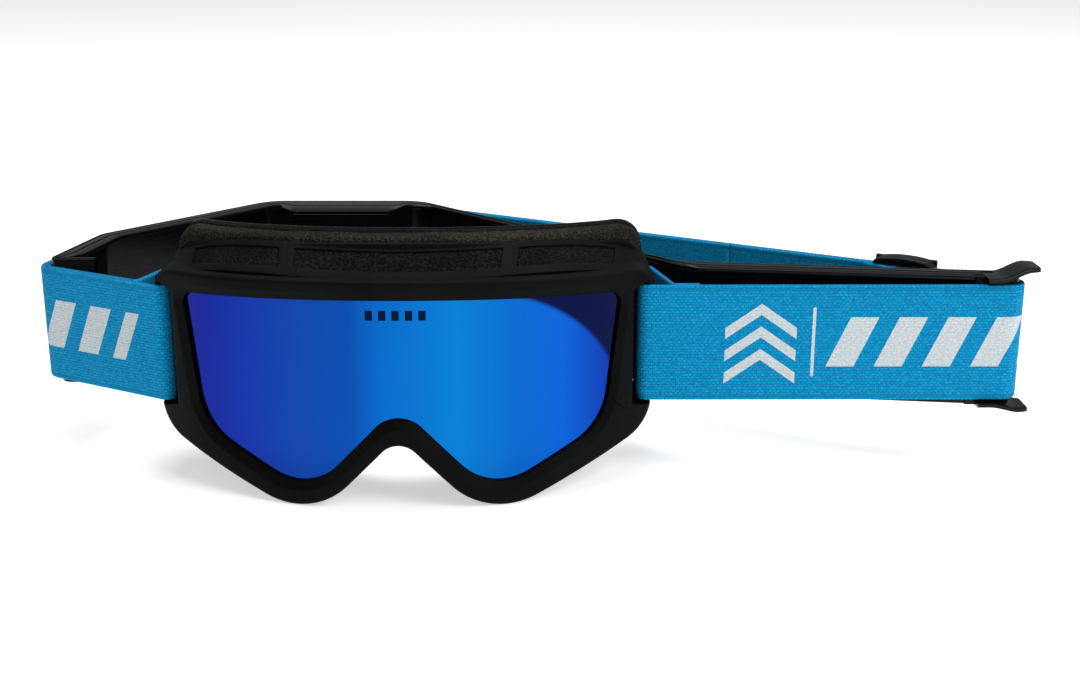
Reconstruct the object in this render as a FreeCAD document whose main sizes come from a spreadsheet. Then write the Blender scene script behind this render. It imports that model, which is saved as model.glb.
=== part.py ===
"""Sports protective goggles: a moulded frame with a curved double lens, vent and face
foams, an elastic strap with a three-bar slider, and the moulded former inside the strap.

X runs across the frame, Y away from the wearer's view side (the lens faces -Y), Z up.
Every piece is built about the frame's own middle plane and moved once, by the same shift,
so that the origin is at the middle of the whole object's footprint.
"""
import FreeCAD, Part
import math
import os

from FreeCAD import Placement, Rotation, Vector

SIZES = {
    # Front outline of the frame
    "frame_half_width": 87.0,
    "frame_above_strap": 9.8,
    "frame_arch_radius": 1000.0,
    "frame_corner_radius": 9.0,
    "cheek_radius": 14.0,
    "cheek_centre_height": 28.7,
    "lobe_share": 0.42,
    "lobe_radius": 26.0,
    "nose_height": 23.0,
    "nose_radius": 7.5,
    # Opening in front of the lens
    "bezel_side_width": 11.8,
    "bezel_cheek_width": 15.5,
    "bezel_top_width": 7.0,
    "opening_arch_radius": 800.0,
    "opening_corner_radius": 4.0,
    "opening_cheek_radius": 20.0,
    "opening_cheek_centre_height": 36.4,
    "opening_lobe_inset": 1.0,
    "opening_lobe_bottom": 8.4,
    "opening_lobe_radius": 19.5,
    "bezel_nose_width": 9.0,
    "opening_nose_radius": 11.0,
    # Depths of the front, measured square to the lens curve
    "lens_curve_margin": 38.0,
    "lip_thickness": 3.2,
    "outer_lens_thickness": 1.2,
    "gasket_thickness": 3.5,
    "inner_lens_thickness": 0.8,
    "ledge_thickness": 2.0,
    "lens_groove_depth": 3.0,
    "lens_edge_play": 0.2,
    "gasket_width": 4.0,
    # Walls behind the bezel, and the flange that carries the face foam
    "wall_thickness": 2.2,
    "wall_inset": 0.4,
    "side_wall_thickness": 8.7,
    "wall_front_drop": 3.4,
    "wall_front_arch_radius": 355.0,
    "wall_rear_rise": 30.9,
    "wall_rear_arch_margin": 32.0,
    "wall_rear_plane": 60.0,
    "face_curve_margin": 19.0,
    "flange_back": 20.5,
    "flange_thickness": 2.5,
    "flange_side_inset": 3.0,
    "flange_rise": 8.6,
    "flange_arch_radius": 480.0,
    "flange_corner_radius": 11.0,
    # Vent windows in the walls
    "vent_front": 8.2,
    "vent_back": 16.8,
    "centre_vent_share": 0.4046,
    "vent_rib_width": 4.6,
    "side_vent_inset": 13.5,
    "low_vent_inner_reach": 9.5,
    "low_vent_outer_reach": 13.5,
    "vent_foam_recess": 0.7,
    "vent_foam_play": 0.15,
    # Face foam
    "foam_thickness": 10.5,
    "comfort_foam_thickness": 4.5,
    "fleece_thickness": 1.0,
    "foam_side_inset": 2.0,
    "foam_notch_inset": 7.5,
    "foam_rise": 10.3,
    "foam_arch_radius": 800.0,
    "foam_corner_radius": 12.0,
    "foam_lobe_bottom": 3.0,
    "foam_nose_rise": 3.0,
    "foam_above_strap": 3.2,
    "face_side_inset": 23.0,
    "face_top_inset": 4.0,
    "face_lobe_bottom": 17.0,
    "face_nose_rise": 17.0,
    # Strap and the bars it is hung on
    "strap_width": 42.0,
    "strap_bottom": 28.2,
    "strap_thickness": 1.8,
    "strap_gap": 0.2,
    "bar_thickness": 2.5,
    "bar_behind_bezel": 0.76,
    "bar_length": 25.5,
    "slot_width": 4.0,
    "slot_end_play": 1.5,
    "return_turn_radius": 1.5,
    "return_turn_reach": 6.0,
    "hem_length": 8.0,
    # Former inside the strap loop: centres and radii of its rounded corners
    "former_left_reach": 40.0,
    "former_left_behind_bar": 4.5,
    "former_left_radius": 4.5,
    "former_shoulder_reach": 28.0,
    "former_shoulder_depth": 100.0,
    "former_shoulder_radius": 10.0,
    "former_back_left_offset": 62.0,
    "former_back_right_offset": 12.0,
    "former_back_depth": 170.5,
    "former_back_left_radius": 16.0,
    "former_back_right_radius": 18.0,
    "former_elbow_reach": 13.5,
    "former_elbow_behind_bar": 2.5,
    "former_elbow_radius": 5.0,
    "former_nose_reach": 124.0,
    "former_nose_radius": 4.5,
    "former_wall": 1.8,
    "former_rim_thickness": 1.8,
    "former_rim_width": 9.0,
    "former_narrow_rim_width": 4.0,
    "former_platform_width": 22.0,
    "former_return_length": 12.0,
    "former_rim_gap": 0.8,
    "flare_rise": 4.0,
    "flare_length": 18.0,
    "flare_width": 14.0,
    "flare_reach": 9.6,
    # Three-bar slider
    "slider_length": 23.0,
    "slider_bar_thickness": 1.8,
    "slider_bar_width": 4.0,
    "slider_end_height": 3.0,
    "slider_play": 0.3,
    "slider_core_radius": 0.8,
    "slider_distance": 38.0,
    "slider_travel": 12.0,
    "tab_length": 14.0,
    # Stitching
    "stitch_reach": 16.0,
    "stitch_length": 1.2,
    "stitch_height": 0.5,
}

# Sizes that follow others, so that one change carries its neighbours with it
FOLLOWING = {
    "frame_top": "strap_bottom + strap_width + frame_above_strap",
    "lobe_offset": "frame_half_width * lobe_share",
    "opening_half_width": "frame_half_width - bezel_side_width",
    "opening_low_half_width": "frame_half_width - bezel_cheek_width",
    "opening_top": "frame_top - bezel_top_width",
    "opening_lobe_offset": "lobe_offset - opening_lobe_inset",
    "opening_nose_height": "nose_height + bezel_nose_width",
    "lens_curve_radius": "frame_half_width + lens_curve_margin",
    "cavity_half_width": "frame_half_width - side_wall_thickness",
    "wall_front_top": "frame_top - wall_front_drop",
    "wall_rear_top": "frame_top + wall_rear_rise",
    "wall_rear_arch_radius": "frame_half_width + wall_rear_arch_margin",
    "face_curve_radius": "frame_half_width + face_curve_margin",
    "flange_half_width": "frame_half_width - flange_side_inset",
    "flange_top": "frame_top + flange_rise",
    "centre_vent_half_width": "frame_half_width * centre_vent_share",
    "side_vent_end": "frame_half_width - side_vent_inset",
    "low_vent_start": "lobe_offset - low_vent_inner_reach",
    "low_vent_end": "lobe_offset + low_vent_outer_reach",
    "foam_half_width": "frame_half_width - foam_side_inset",
    "foam_low_half_width": "frame_half_width - foam_notch_inset",
    "foam_top": "frame_top + foam_rise",
    "foam_nose_height": "nose_height + foam_nose_rise",
    "foam_ear_bottom": "strap_bottom + strap_width + foam_above_strap",
    "face_half_width": "frame_half_width - face_side_inset",
    "face_top": "frame_top - face_top_inset",
    "face_nose_height": "nose_height + face_nose_rise",
    "bar_front": "lens_curve_radius + bar_behind_bezel"
                 " - sqrt(lens_curve_radius ^ 2 - frame_half_width ^ 2)",
    "bar_back": "bar_front + bar_length",
    "former_left_offset": "frame_half_width + former_left_reach",
    "former_left_depth": "bar_back + former_left_behind_bar",
    "former_shoulder_offset": "frame_half_width + former_shoulder_reach",
    "former_elbow_offset": "frame_half_width + former_elbow_reach",
    "former_elbow_depth": "bar_back + former_elbow_behind_bar",
    "former_nose_offset": "frame_half_width + former_nose_reach",
}

doc = FreeCAD.newDocument("SportsGoggles")
sheet = doc.addObject("Spreadsheet::Sheet", "Sizes")
cells = dict(SIZES, **{alias: "=" + formula for alias, formula in FOLLOWING.items()})
for row, alias in enumerate(cells, start=1):
    sheet.set("A%d" % row, alias.replace("_", " "))
    sheet.setAlias("B%d" % row, alias)
for row, value in enumerate(cells.values(), start=1):
    sheet.set("B%d" % row, str(value))
doc.recompute()


def size(alias):
    """The value of one cell, in millimetres."""
    return float(getattr(sheet, alias))


def bind(thing, **expressions):
    """Ties properties to cells; a cell is written as its alias with a leading dot."""
    for name, text in expressions.items():
        thing.setExpression(name.replace("__", "."), text.replace(" .", " Sizes."))
    return thing


# ---------------------------------------------------------------- paths made of tangents

def belt(pulleys):
    """A path that runs tangent from circle to circle, as a list of lines and arcs.

    Each pulley is (x, y, radius, turn): turn is 1 where the path bends left round it and
    -1 where it bends right. A pulley of radius 0 is an end point.
    """
    lines = []
    for (ax, ay, ar, at), (bx, by, br, bt) in zip(pulleys, pulleys[1:]):
        across = bt * br - at * ar
        lean = across / math.hypot(bx - ax, by - ay)
        if abs(lean) > 1 - 1e-9:  # one circle touches the other from inside
            lean = math.copysign(1.0, lean)
        heading = math.atan2(by - ay, bx - ax) - math.asin(lean)
        nx, ny = -math.sin(heading), math.cos(heading)
        start = (ax - nx * at * ar, ay - ny * at * ar)
        end = (bx - nx * bt * br, by - ny * bt * br)
        lines.append((start, end, heading))
    path = []
    for index, (start, end, heading) in enumerate(lines):
        if math.hypot(end[0] - start[0], end[1] - start[1]) > 1e-4:
            path.append(("line", start, end))
        if index + 1 < len(lines):
            x, y, radius, turn = pulleys[index + 1]
            sweep = (lines[index + 1][2] - heading) * turn % (2 * math.pi)
            first = heading - turn * math.pi / 2
            path.append(("arc", (x, y), radius, first, first + turn * sweep))
    return path


def shifted(path, distance):
    """The same path moved sideways, to its left where distance is positive."""
    moved = []
    for piece in path:
        if piece[0] == "line":
            (ax, ay), (bx, by) = piece[1:]
            length = math.hypot(bx - ax, by - ay)
            nx, ny = -(by - ay) / length * distance, (bx - ax) / length * distance
            moved.append(("line", (ax + nx, ay + ny), (bx + nx, by + ny)))
        else:
            _, centre, radius, first, last = piece
            turn = 1 if last > first else -1
            moved.append(("arc", centre, radius - turn * distance, first, last))
    return moved


def ends(piece):
    """The first and last point of one line or arc."""
    if piece[0] == "line":
        return piece[1], piece[2]
    _, (x, y), radius, first, last = piece
    return ((x + radius * math.cos(first), y + radius * math.sin(first)),
            (x + radius * math.cos(last), y + radius * math.sin(last)))


def edge(piece, place):
    """One line or arc as an edge; place turns a flat point into a point in space."""
    start, end = ends(piece)
    if piece[0] == "line":
        return Part.makeLine(place(*start), place(*end))
    _, (x, y), radius, first, last = piece
    middle = (first + last) / 2
    through = (x + radius * math.cos(middle), y + radius * math.sin(middle))
    return Part.Arc(place(*start), place(*through), place(*end)).toShape()


def ribbon(path, left, right, height=0.0):
    """A flat face in plan that covers the path from its left side to its right side."""
    def place(x, y):
        return Vector(x, y, height)
    left_side = [edge(piece, place) for piece in shifted(path, left)]
    right_side = [edge(piece, place) for piece in shifted(path, -right)]
    first = ends(shifted(path[:1], left)[0])[0], ends(shifted(path[:1], -right)[0])[0]
    last = ends(shifted(path[-1:], left)[0])[1], ends(shifted(path[-1:], -right)[0])[1]
    caps = [Part.makeLine(place(*pair[0]), place(*pair[1])) for pair in (first, last)]
    return Part.Face(Part.Wire(Part.__sortEdges__(left_side + right_side + caps)))


# ---------------------------------------------------------------- outlines seen from the front

def outline(half_width, low_half_width, top, arch, corner, cheek, cheek_height,
            lobe_x, lobe_bottom, lobe, nose_top, nose):
    """The goggle shape as a ring of circles: nose, lobe, cheek, corner and top arch."""
    corner_x = half_width - corner
    corner_z = top - arch + math.sqrt((arch - corner) ** 2 - corner_x ** 2)
    right = [(lobe_x, lobe_bottom + lobe, lobe, 1), (low_half_width - cheek, cheek_height, cheek, 1),
             (corner_x, corner_z, corner, 1)]
    left = [(-x, z, radius, turn) for x, z, radius, turn in reversed(right)]
    middle = [(0.0, nose_top - nose, nose, -1)]
    return middle + right + [(0.0, top - arch, arch, 1)] + left + middle


def grown(circles, margin):
    """The outline moved outwards by a margin all round."""
    return [(x, z, radius + turn * margin, turn) for x, z, radius, turn in circles]


def outline_wire(circles, depth):
    """The closed outline in the upright plane at this depth."""
    path = belt(circles + circles[1:2])
    closed = path[1:]
    return Part.Wire([edge(piece, lambda x, z: Vector(x, depth, z)) for piece in closed])


FRAME = outline(size("frame_half_width"), size("frame_half_width"), size("frame_top"),
                size("frame_arch_radius"), size("frame_corner_radius"), size("cheek_radius"),
                size("cheek_centre_height"), size("lobe_offset"), 0.0, size("lobe_radius"),
                size("nose_height"), size("nose_radius"))
OPENING = outline(size("opening_half_width"), size("opening_low_half_width"), size("opening_top"),
                  size("opening_arch_radius"), size("opening_corner_radius"),
                  size("opening_cheek_radius"), size("opening_cheek_centre_height"),
                  size("opening_lobe_offset"), size("opening_lobe_bottom"),
                  size("opening_lobe_radius"), size("opening_nose_height"),
                  size("opening_nose_radius"))


# ---------------------------------------------------------------- document objects

REACH = 200.0  # longer than the frame is deep, for cuts that go right through


def feature(name, shape):
    """A document object that holds a finished shape, for outlines and sections."""
    thing = doc.addObject("Part::Feature", name)
    thing.Shape = shape
    return thing


def prism(name, circles):
    """An outline extruded along Y through the whole depth of the goggles."""
    face = feature(name + "_face", Part.Face(outline_wire(circles, -REACH / 4)))
    solid = doc.addObject("Part::Extrusion", name)
    solid.Base, solid.DirMode, solid.Dir = face, "Custom", Vector(0, 1, 0)
    solid.LengthFwd, solid.Solid = REACH, True
    return solid


def combined(kind, name, *things):
    """A boolean of two or more objects: kind is MultiFuse, MultiCommon or Cut."""
    result = doc.addObject("Part::" + kind, name)
    if kind == "Cut":
        result.Base, result.Tool = things
    else:
        result.Shapes = list(things)
    return result


def upright(name, face, bottom, top):
    """A flat face in plan extruded between two heights."""
    solid = doc.addObject("Part::Extrusion", name)
    solid.Base, solid.DirMode, solid.Dir = feature(name + "_face", face), "Custom", Vector(0, 0, 1)
    solid.Solid = True
    return bind(solid, LengthFwd=" (%s) - (%s)" % (top, bottom),
                Placement__Base__z=" " + bottom)


def curved_layer(name, front, back):
    """The space between two upright arcs, each given as its radius and its nearest depth."""
    edges, sides = [], []
    for radius, nearest in (front, back):
        def at(x):
            return Vector(x, nearest + radius - math.sqrt(radius ** 2 - x ** 2), 0)
        reach = size("frame_half_width") + 8
        edges.append(Part.Arc(at(-reach), at(0), at(reach)).toShape())
        sides.append((at(-reach), at(reach)))
    edges += [Part.makeLine(first, second) for first, second in zip(*sides)]
    face = Part.Face(Part.Wire(Part.__sortEdges__(edges)))
    return upright(name, face, "- .frame_top", " .frame_top * 2")


def on_lens_curve(depth):
    """The arc at a depth measured square to the lens curve."""
    return size("lens_curve_radius") - depth, depth


def on_face_curve(depth):
    """The arc at a depth measured straight back, on the face's curve."""
    return size("face_curve_radius"), depth


def lens_band(name, front, back):
    """The curved layer between two depths of the lens curve."""
    return curved_layer(name, on_lens_curve(front), on_lens_curve(back))


def face_band(name, front, back):
    """The curved layer between two depths of the face's curve."""
    return curved_layer(name, on_face_curve(front), on_face_curve(back))


def block(name, x, y, z):
    """A box from three (low, high) pairs of expressions."""
    thing = doc.addObject("Part::Box", name)
    for side, axis, (low, high) in (("Length", "x", x), ("Width", "y", y), ("Height", "z", z)):
        bind(thing, **{side: " (%s) - (%s)" % (high, low), "Placement__Base__" + axis: " " + low})
    return thing


FOOTPRINT_LEFT = ("( .former_left_offset + .former_left_radius + 2 * .strap_thickness"
                  " + 2 * .strap_gap)")
FOOTPRINT_RIGHT = "( .former_nose_offset + .flare_reach)"
FOOTPRINT_BACK = "( .former_back_depth + 2 * .strap_thickness + 2 * .strap_gap)"
SHIFT_ACROSS = " (%s - %s) / 2" % (FOOTPRINT_LEFT, FOOTPRINT_RIGHT)
SHIFT_BACK = " -%s / 2" % FOOTPRINT_BACK
NODES = []


def node(thing, label, x=0.0, y=0.0, turned=0.0):
    """Names a finished sub-part, puts it in its place and moves it to the object's origin."""
    thing.Label = label
    thing.Placement = Placement(Vector(), Rotation(Vector(0, 0, 1), turned))
    bind(thing, Placement__Base__x="%s + %.6f" % (SHIFT_ACROSS, x),
         Placement__Base__y="%s + %.6f" % (SHIFT_BACK, y))
    NODES.append(thing)
    return thing


def both_sides(name, low, high, y, z):
    """A pair of boxes, one on each side of the middle plane, from expressions for X."""
    return combined("MultiFuse", name,
                    block(name + "_right", (low, high), y, z),
                    block(name + "_left", ("-(%s)" % high, "-(%s)" % low), y, z))


# ---------------------------------------------------------------- lenses and their gasket

LENS_FRONT = size("lip_thickness")
GASKET_FRONT = LENS_FRONT + size("outer_lens_thickness")
INNER_LENS_FRONT = GASKET_FRONT + size("gasket_thickness")
LEDGE_FRONT = INNER_LENS_FRONT + size("inner_lens_thickness")
BEZEL_BACK = LEDGE_FRONT + size("ledge_thickness")


def build_lenses():
    """Two curved lenses with a foam gasket between them, in one groove of the frame."""
    lens_outline = grown(OPENING, size("lens_groove_depth") - size("lens_edge_play"))
    node(combined("MultiCommon", "OuterLens", prism("outer_lens_block", lens_outline),
                  lens_band("outer_lens_layer", LENS_FRONT, GASKET_FRONT)), "outer_lens")
    node(combined("MultiCommon", "InnerLens", prism("inner_lens_block", lens_outline),
                  lens_band("inner_lens_layer", INNER_LENS_FRONT, LEDGE_FRONT)), "inner_lens")
    hollow = grown(lens_outline, -size("gasket_width"))
    ring = combined("Cut", "gasket_ring", prism("gasket_block", lens_outline),
                    prism("gasket_hollow", hollow))
    node(combined("MultiCommon", "LensGasket", ring,
                  lens_band("gasket_layer", GASKET_FRONT, INNER_LENS_FRONT)), "lens_gasket")


# ---------------------------------------------------------------- frame

CAVITY = outline(size("cavity_half_width"), size("cavity_half_width"),
                 size("frame_top") - size("wall_thickness"), size("frame_arch_radius"),
                 size("frame_corner_radius"), size("cheek_radius"), size("cheek_centre_height"),
                 size("lobe_offset"), size("wall_thickness"),
                 size("lobe_radius") - size("wall_thickness"),
                 size("nose_height") + size("wall_thickness"),
                 size("nose_radius") + size("wall_thickness"))
FLANGE = outline(size("flange_half_width"), size("flange_half_width"), size("flange_top"),
                 size("flange_arch_radius"), size("flange_corner_radius"), size("cheek_radius"),
                 size("cheek_centre_height"), size("lobe_offset"), 0.0, size("lobe_radius"),
                 size("nose_height"), size("nose_radius"))
FACE_OPENING = outline(size("face_half_width"), size("face_half_width"), size("face_top"),
                       size("foam_arch_radius"), size("foam_corner_radius"), size("cheek_radius"),
                       size("opening_cheek_centre_height"), size("lobe_offset"),
                       size("face_lobe_bottom"), size("cheek_radius"),
                       size("face_nose_height"), size("cheek_radius"))


WALL_HALF_WIDTH = size("frame_half_width") - size("wall_inset")


def walls(name, drop, half_width, low_margin):
    """The flaring wall as a solid: its roof rises towards the face, its sides do not."""
    sections = []
    for label, depth, top, arch in (
            ("front", 0.0, size("wall_front_top"), size("wall_front_arch_radius")),
            ("rear", size("wall_rear_plane"), size("wall_rear_top"),
             size("wall_rear_arch_radius"))):
        ring = outline(half_width, half_width, top - drop, arch - drop,
                       size("frame_corner_radius"), size("cheek_radius"),
                       size("cheek_centre_height"), size("lobe_offset"), low_margin,
                       size("lobe_radius") - low_margin, size("nose_height") + low_margin,
                       size("nose_radius") + low_margin)
        sections.append(feature("%s_%s" % (name, label), outline_wire(ring, depth)))
    loft = doc.addObject("Part::Loft", name)
    loft.Sections, loft.Solid, loft.Ruled = sections, True, True
    return loft


STRAP_BOTTOM = " .strap_bottom"
STRAP_TOP = "( .strap_bottom + .strap_width)"
SLOT_HEIGHT = ("%s - .slot_end_play" % STRAP_BOTTOM, "%s + .slot_end_play" % STRAP_TOP)
BAR_OUTER = "( .frame_half_width - .wall_inset)"
BAR_INNER = "( .frame_half_width - .wall_inset - .bar_thickness)"


def vent_prisms():
    """Upright blocks over the three roof windows and under the two lobe windows."""
    rib_end = " .centre_vent_half_width + .vent_rib_width"
    depth = ("-10", "90")
    roof = (" .frame_top - 12", " .foam_top + 20")
    under = ("-20", " .lobe_radius / 2 + 1")
    return {
        "vent_foam_top_centre": (("- .centre_vent_half_width", " .centre_vent_half_width"), roof),
        "vent_foam_top_right": ((rib_end, " .side_vent_end"), roof),
        "vent_foam_top_left": (("- .side_vent_end", "-(%s)" % rib_end), roof),
        "vent_foam_low_right": ((" .low_vent_start", " .low_vent_end"), under),
        "vent_foam_low_left": (("- .low_vent_end", "- .low_vent_start"), under),
    }, depth


def build_frame():
    """One soft moulding: bezel, lens groove, vented walls, face flange and strap bars."""
    bezel = combined("MultiCommon", "bezel", prism("bezel_block", FRAME),
                     lens_band("bezel_layer", 0.0, BEZEL_BACK))
    wall = combined("Cut", "wall_ring", walls("wall_outer", 0.0, WALL_HALF_WIDTH, size("wall_inset")),
                    walls("wall_inner", size("wall_thickness"), size("cavity_half_width"),
                          size("wall_thickness")))
    wall_back = combined("MultiCommon", "wall", wall, wall_layer("wall_layer"))
    flange = combined("MultiCommon", "flange", prism("flange_block", FLANGE),
                      face_band("flange_layer", size("flange_back") - size("flange_thickness"),
                                size("flange_back")))
    flange_ring = combined("Cut", "flange_ring", flange, prism("face_hole", FACE_OPENING))
    whole = combined("MultiFuse", "frame_whole", bezel, wall_back, flange_ring)
    groove = combined("MultiCommon", "lens_groove",
                      prism("groove_block", grown(OPENING, size("lens_groove_depth"))),
                      lens_band("groove_layer", LENS_FRONT, LEDGE_FRONT))
    strap_path = both_sides("strap_slot", "%s - .slot_width" % BAR_INNER, BAR_INNER,
                            ("-5", "150"), SLOT_HEIGHT)
    bar_front = both_sides("bar_front_cut", "%s - 0.5" % BAR_INNER, "%s + 5" % BAR_OUTER,
                           ("-5", " .bar_front"), SLOT_HEIGHT)
    bar_back = both_sides("bar_back_cut", "%s - 0.5" % BAR_INNER, "%s + 5" % BAR_OUTER,
                          (" .bar_back", "150"), SLOT_HEIGHT)
    bar_side = both_sides("bar_side_cut", BAR_OUTER, "%s + 5" % BAR_OUTER, ("-5", "150"),
                          SLOT_HEIGHT)
    windows = []
    prisms, depth = vent_prisms()
    vent_layer = lens_band("vent_layer", size("vent_front"), size("vent_back"))
    for name, (x, z) in prisms.items():
        windows.append(combined("MultiCommon", name + "_window", block(name + "_block", x, depth, z),
                                vent_layer))
    tools = combined("MultiFuse", "frame_cuts", prism("opening_block", OPENING), groove,
                     strap_path, bar_front, bar_back, bar_side, *windows)
    node(combined("Cut", "Frame", whole, tools), "frame")


def wall_layer(name):
    """The depth of the walls: from just inside the bezel to the face flange."""
    return curved_layer(name, on_lens_curve(GASKET_FRONT), on_face_curve(size("flange_back")))


def build_vent_foams():
    """A thin pad of open foam in each vent window, a little below the wall's surface."""
    recess, play = size("vent_foam_recess"), " .vent_foam_play"
    sheet_of_foam = combined(
        "Cut", "vent_foam_sheet",
        walls("vent_foam_outer", recess, WALL_HALF_WIDTH - recess, size("wall_inset") + recess),
        walls("vent_foam_inner", size("wall_thickness"), size("cavity_half_width"),
              size("wall_thickness")))
    layer = lens_band("vent_foam_layer", size("vent_front") + size("vent_foam_play"),
                      size("vent_back") - size("vent_foam_play"))
    prisms, depth = vent_prisms()
    for name, ((low, high), z) in prisms.items():
        pad = block(name + "_pad_block", ("%s + %s" % (low, play), "%s - %s" % (high, play)),
                    depth, z)
        node(combined("MultiCommon", "Pad_" + name, sheet_of_foam, pad, layer), name)


# ---------------------------------------------------------------- face foam

def build_face_foam():
    """Three bonded layers that follow the face, notched at the sides where the strap turns."""
    ring = outline(size("foam_half_width"), size("foam_low_half_width"), size("foam_top"),
                   size("foam_arch_radius"), size("foam_corner_radius"), size("cheek_radius"),
                   size("cheek_centre_height"), size("lobe_offset"), size("foam_lobe_bottom"),
                   size("lobe_radius") - size("foam_lobe_bottom"), size("foam_nose_height"),
                   size("nose_radius"))
    body = combined("Cut", "foam_ring", prism("foam_block", ring),
                    prism("foam_hole", FACE_OPENING))
    notch = both_sides("foam_notch", " .foam_low_half_width", " .foam_half_width + 5",
                       ("-5", "190"), ("-5", " .foam_ear_bottom"))
    blank = combined("Cut", "foam_blank", body, notch)
    base_front = size("flange_back")
    comfort_front = base_front + size("foam_thickness")
    fleece_front = comfort_front + size("comfort_foam_thickness")
    fleece_back = fleece_front + size("fleece_thickness")
    for label, front, back in (("face_foam_base", base_front, comfort_front),
                               ("face_foam_comfort", comfort_front, fleece_front),
                               ("face_fleece", fleece_front, fleece_back)):
        node(combined("MultiCommon", "Layer_" + label, blank, face_band(label + "_layer",
                                                                        front, back)), label)


# ---------------------------------------------------------------- former inside the strap

FORMER_NOSE_DEPTH = size("bar_front") + size("former_nose_radius")


def former_corners():
    """The rounded corners of the former's outer face, from its left end to its right end."""
    left_end = (-size("former_left_offset") + size("former_return_length"),
                size("former_left_depth") - size("former_left_radius"), 0.0, 1)
    back_left = size("former_back_depth") - size("former_back_left_radius")
    back_right = size("former_back_depth") - size("former_back_right_radius")
    right_end = (size("former_nose_offset") - size("former_return_length"),
                 FORMER_NOSE_DEPTH - size("former_nose_radius"), 0.0, 1)
    return [
        left_end,
        (-size("former_left_offset"), size("former_left_depth"), size("former_left_radius"), -1),
        (-size("former_shoulder_offset"), size("former_shoulder_depth"),
         size("former_shoulder_radius"), -1),
        (-size("former_back_left_offset"), back_left, size("former_back_left_radius"), -1),
        (-size("former_back_right_offset"), back_right, size("former_back_right_radius"), -1),
        (size("former_elbow_offset"), size("former_elbow_depth"), size("former_elbow_radius"), 1),
        (size("former_nose_offset"), FORMER_NOSE_DEPTH, size("former_nose_radius"), -1),
        right_end,
    ]


def build_former():
    """A channel-shaped moulding that holds the strap open, with flared ends at the right."""
    path = belt(former_corners())
    wall = size("former_wall")
    rim_low = "(%s - .former_rim_gap - .former_rim_thickness)" % STRAP_BOTTOM
    rim_high = "(%s + .former_rim_gap + .former_rim_thickness)" % STRAP_TOP
    low_top = "(%s + .former_rim_thickness)" % rim_low
    high_bottom = "(%s - .former_rim_thickness)" % rim_high
    dome, foot, back_line, arm_line = path[2:8], path[6:8], path[6:7], path[10:11]
    pieces = [upright("former_wall_band", ribbon(path, 0.0, wall), rim_low, rim_high),
              upright("former_foot", ribbon(foot, 0.0, wall), "0", low_top)]
    rims = (("narrow", path, size("former_narrow_rim_width")),
            ("dome", dome, size("former_rim_width")),
            ("arm", arm_line, size("former_rim_width")))
    for label, stretch, width in rims:
        face = ribbon(stretch, 0.0, width)
        pieces.append(upright("rim_top_" + label, face, high_bottom, rim_high))
        pieces.append(upright("rim_low_" + label, face.copy(), rim_low, low_top))
    pieces.append(upright("rim_top_platform", ribbon(back_line, 0.0, size("former_platform_width")),
                          high_bottom, rim_high))
    nose_x, nose_y = " .former_nose_offset", str(FORMER_NOSE_DEPTH)
    flare_x = ("%s + .flare_reach - .flare_length" % nose_x, "%s + .flare_reach" % nose_x)
    flare_y = ("%s - .flare_width * 0.6" % nose_y, "%s + .flare_width * 0.4" % nose_y)
    pieces.append(block("flare_top", flare_x, flare_y, (high_bottom, rim_high)))
    pieces.append(block("flare_low", flare_x, flare_y, (rim_low, low_top)))
    lip_x = ("%s + .flare_reach - .former_wall" % nose_x, "%s + .flare_reach" % nose_x)
    pieces.append(block("flare_top_lip", lip_x, flare_y, (high_bottom, "%s + .flare_rise" % rim_high)))
    pieces.append(block("flare_low_lip", lip_x, flare_y, ("%s - .flare_rise / 2" % rim_low, low_top)))
    node(combined("MultiFuse", "Former", *pieces), "strap_former")


# ---------------------------------------------------------------- strap

HALF_STRAP = size("strap_thickness") / 2
PITCH = size("strap_thickness") + size("strap_gap")
BAR_MIDDLE = WALL_HALF_WIDTH - size("bar_thickness") / 2
# The strap clears the bar's square corners, half its thickness times root two from its middle.
WRAP = size("bar_thickness") / 2 * math.sqrt(2) + size("strap_gap") / 2 + HALF_STRAP
BAR_FRONT_CENTRE = size("bar_front") + size("bar_thickness") / 2
BAR_BACK_CENTRE = size("bar_back") - size("bar_thickness") / 2


def around_former(layer, turn):
    """The strap's bends at the former's back corners and left end, from right to left."""
    clear = size("strap_gap") + HALF_STRAP + (layer - 1) * PITCH
    return [(x, y, radius + clear, turn)
            for x, y, radius, _ in reversed(former_corners()[1:5])]


def nose_bend():
    """The strap's bend round the former's right end."""
    return (size("former_nose_offset"), FORMER_NOSE_DEPTH,
            size("former_nose_radius") + size("strap_gap") + HALF_STRAP, 1)


def return_turn(side, run):
    """The tight turn where the strap comes off the bar and lies back along its own run."""
    x = side * (WALL_HALF_WIDTH + size("strap_gap") + HALF_STRAP
                + size("return_turn_radius") + size("return_turn_reach"))
    (ax, ay), (bx, by) = run[1:]
    slope = (by - ay) / (bx - ax)
    clear = PITCH + size("return_turn_radius")
    return (x, ay + slope * (x - ax) + clear * math.hypot(1, slope),
            size("return_turn_radius"), -1)


# The straight back run, from the former's right end to its back right corner.
BACK_RUN = belt([nose_bend(), around_former(2, 1)[0]])[0]


def beside_back_run(along, inwards):
    """The point so far along the back run and so far to the inside of its middle line."""
    (ax, ay), (bx, by) = BACK_RUN[1:]
    length = math.hypot(bx - ax, by - ay)
    dx, dy = (bx - ax) / length, (by - ay) / length
    return ax + dx * along - dy * inwards, ay + dy * along + dx * inwards


BACK_RUN_ANGLE = math.degrees(math.atan2(BACK_RUN[2][1] - BACK_RUN[1][1],
                                         BACK_RUN[2][0] - BACK_RUN[1][0]))


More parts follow.
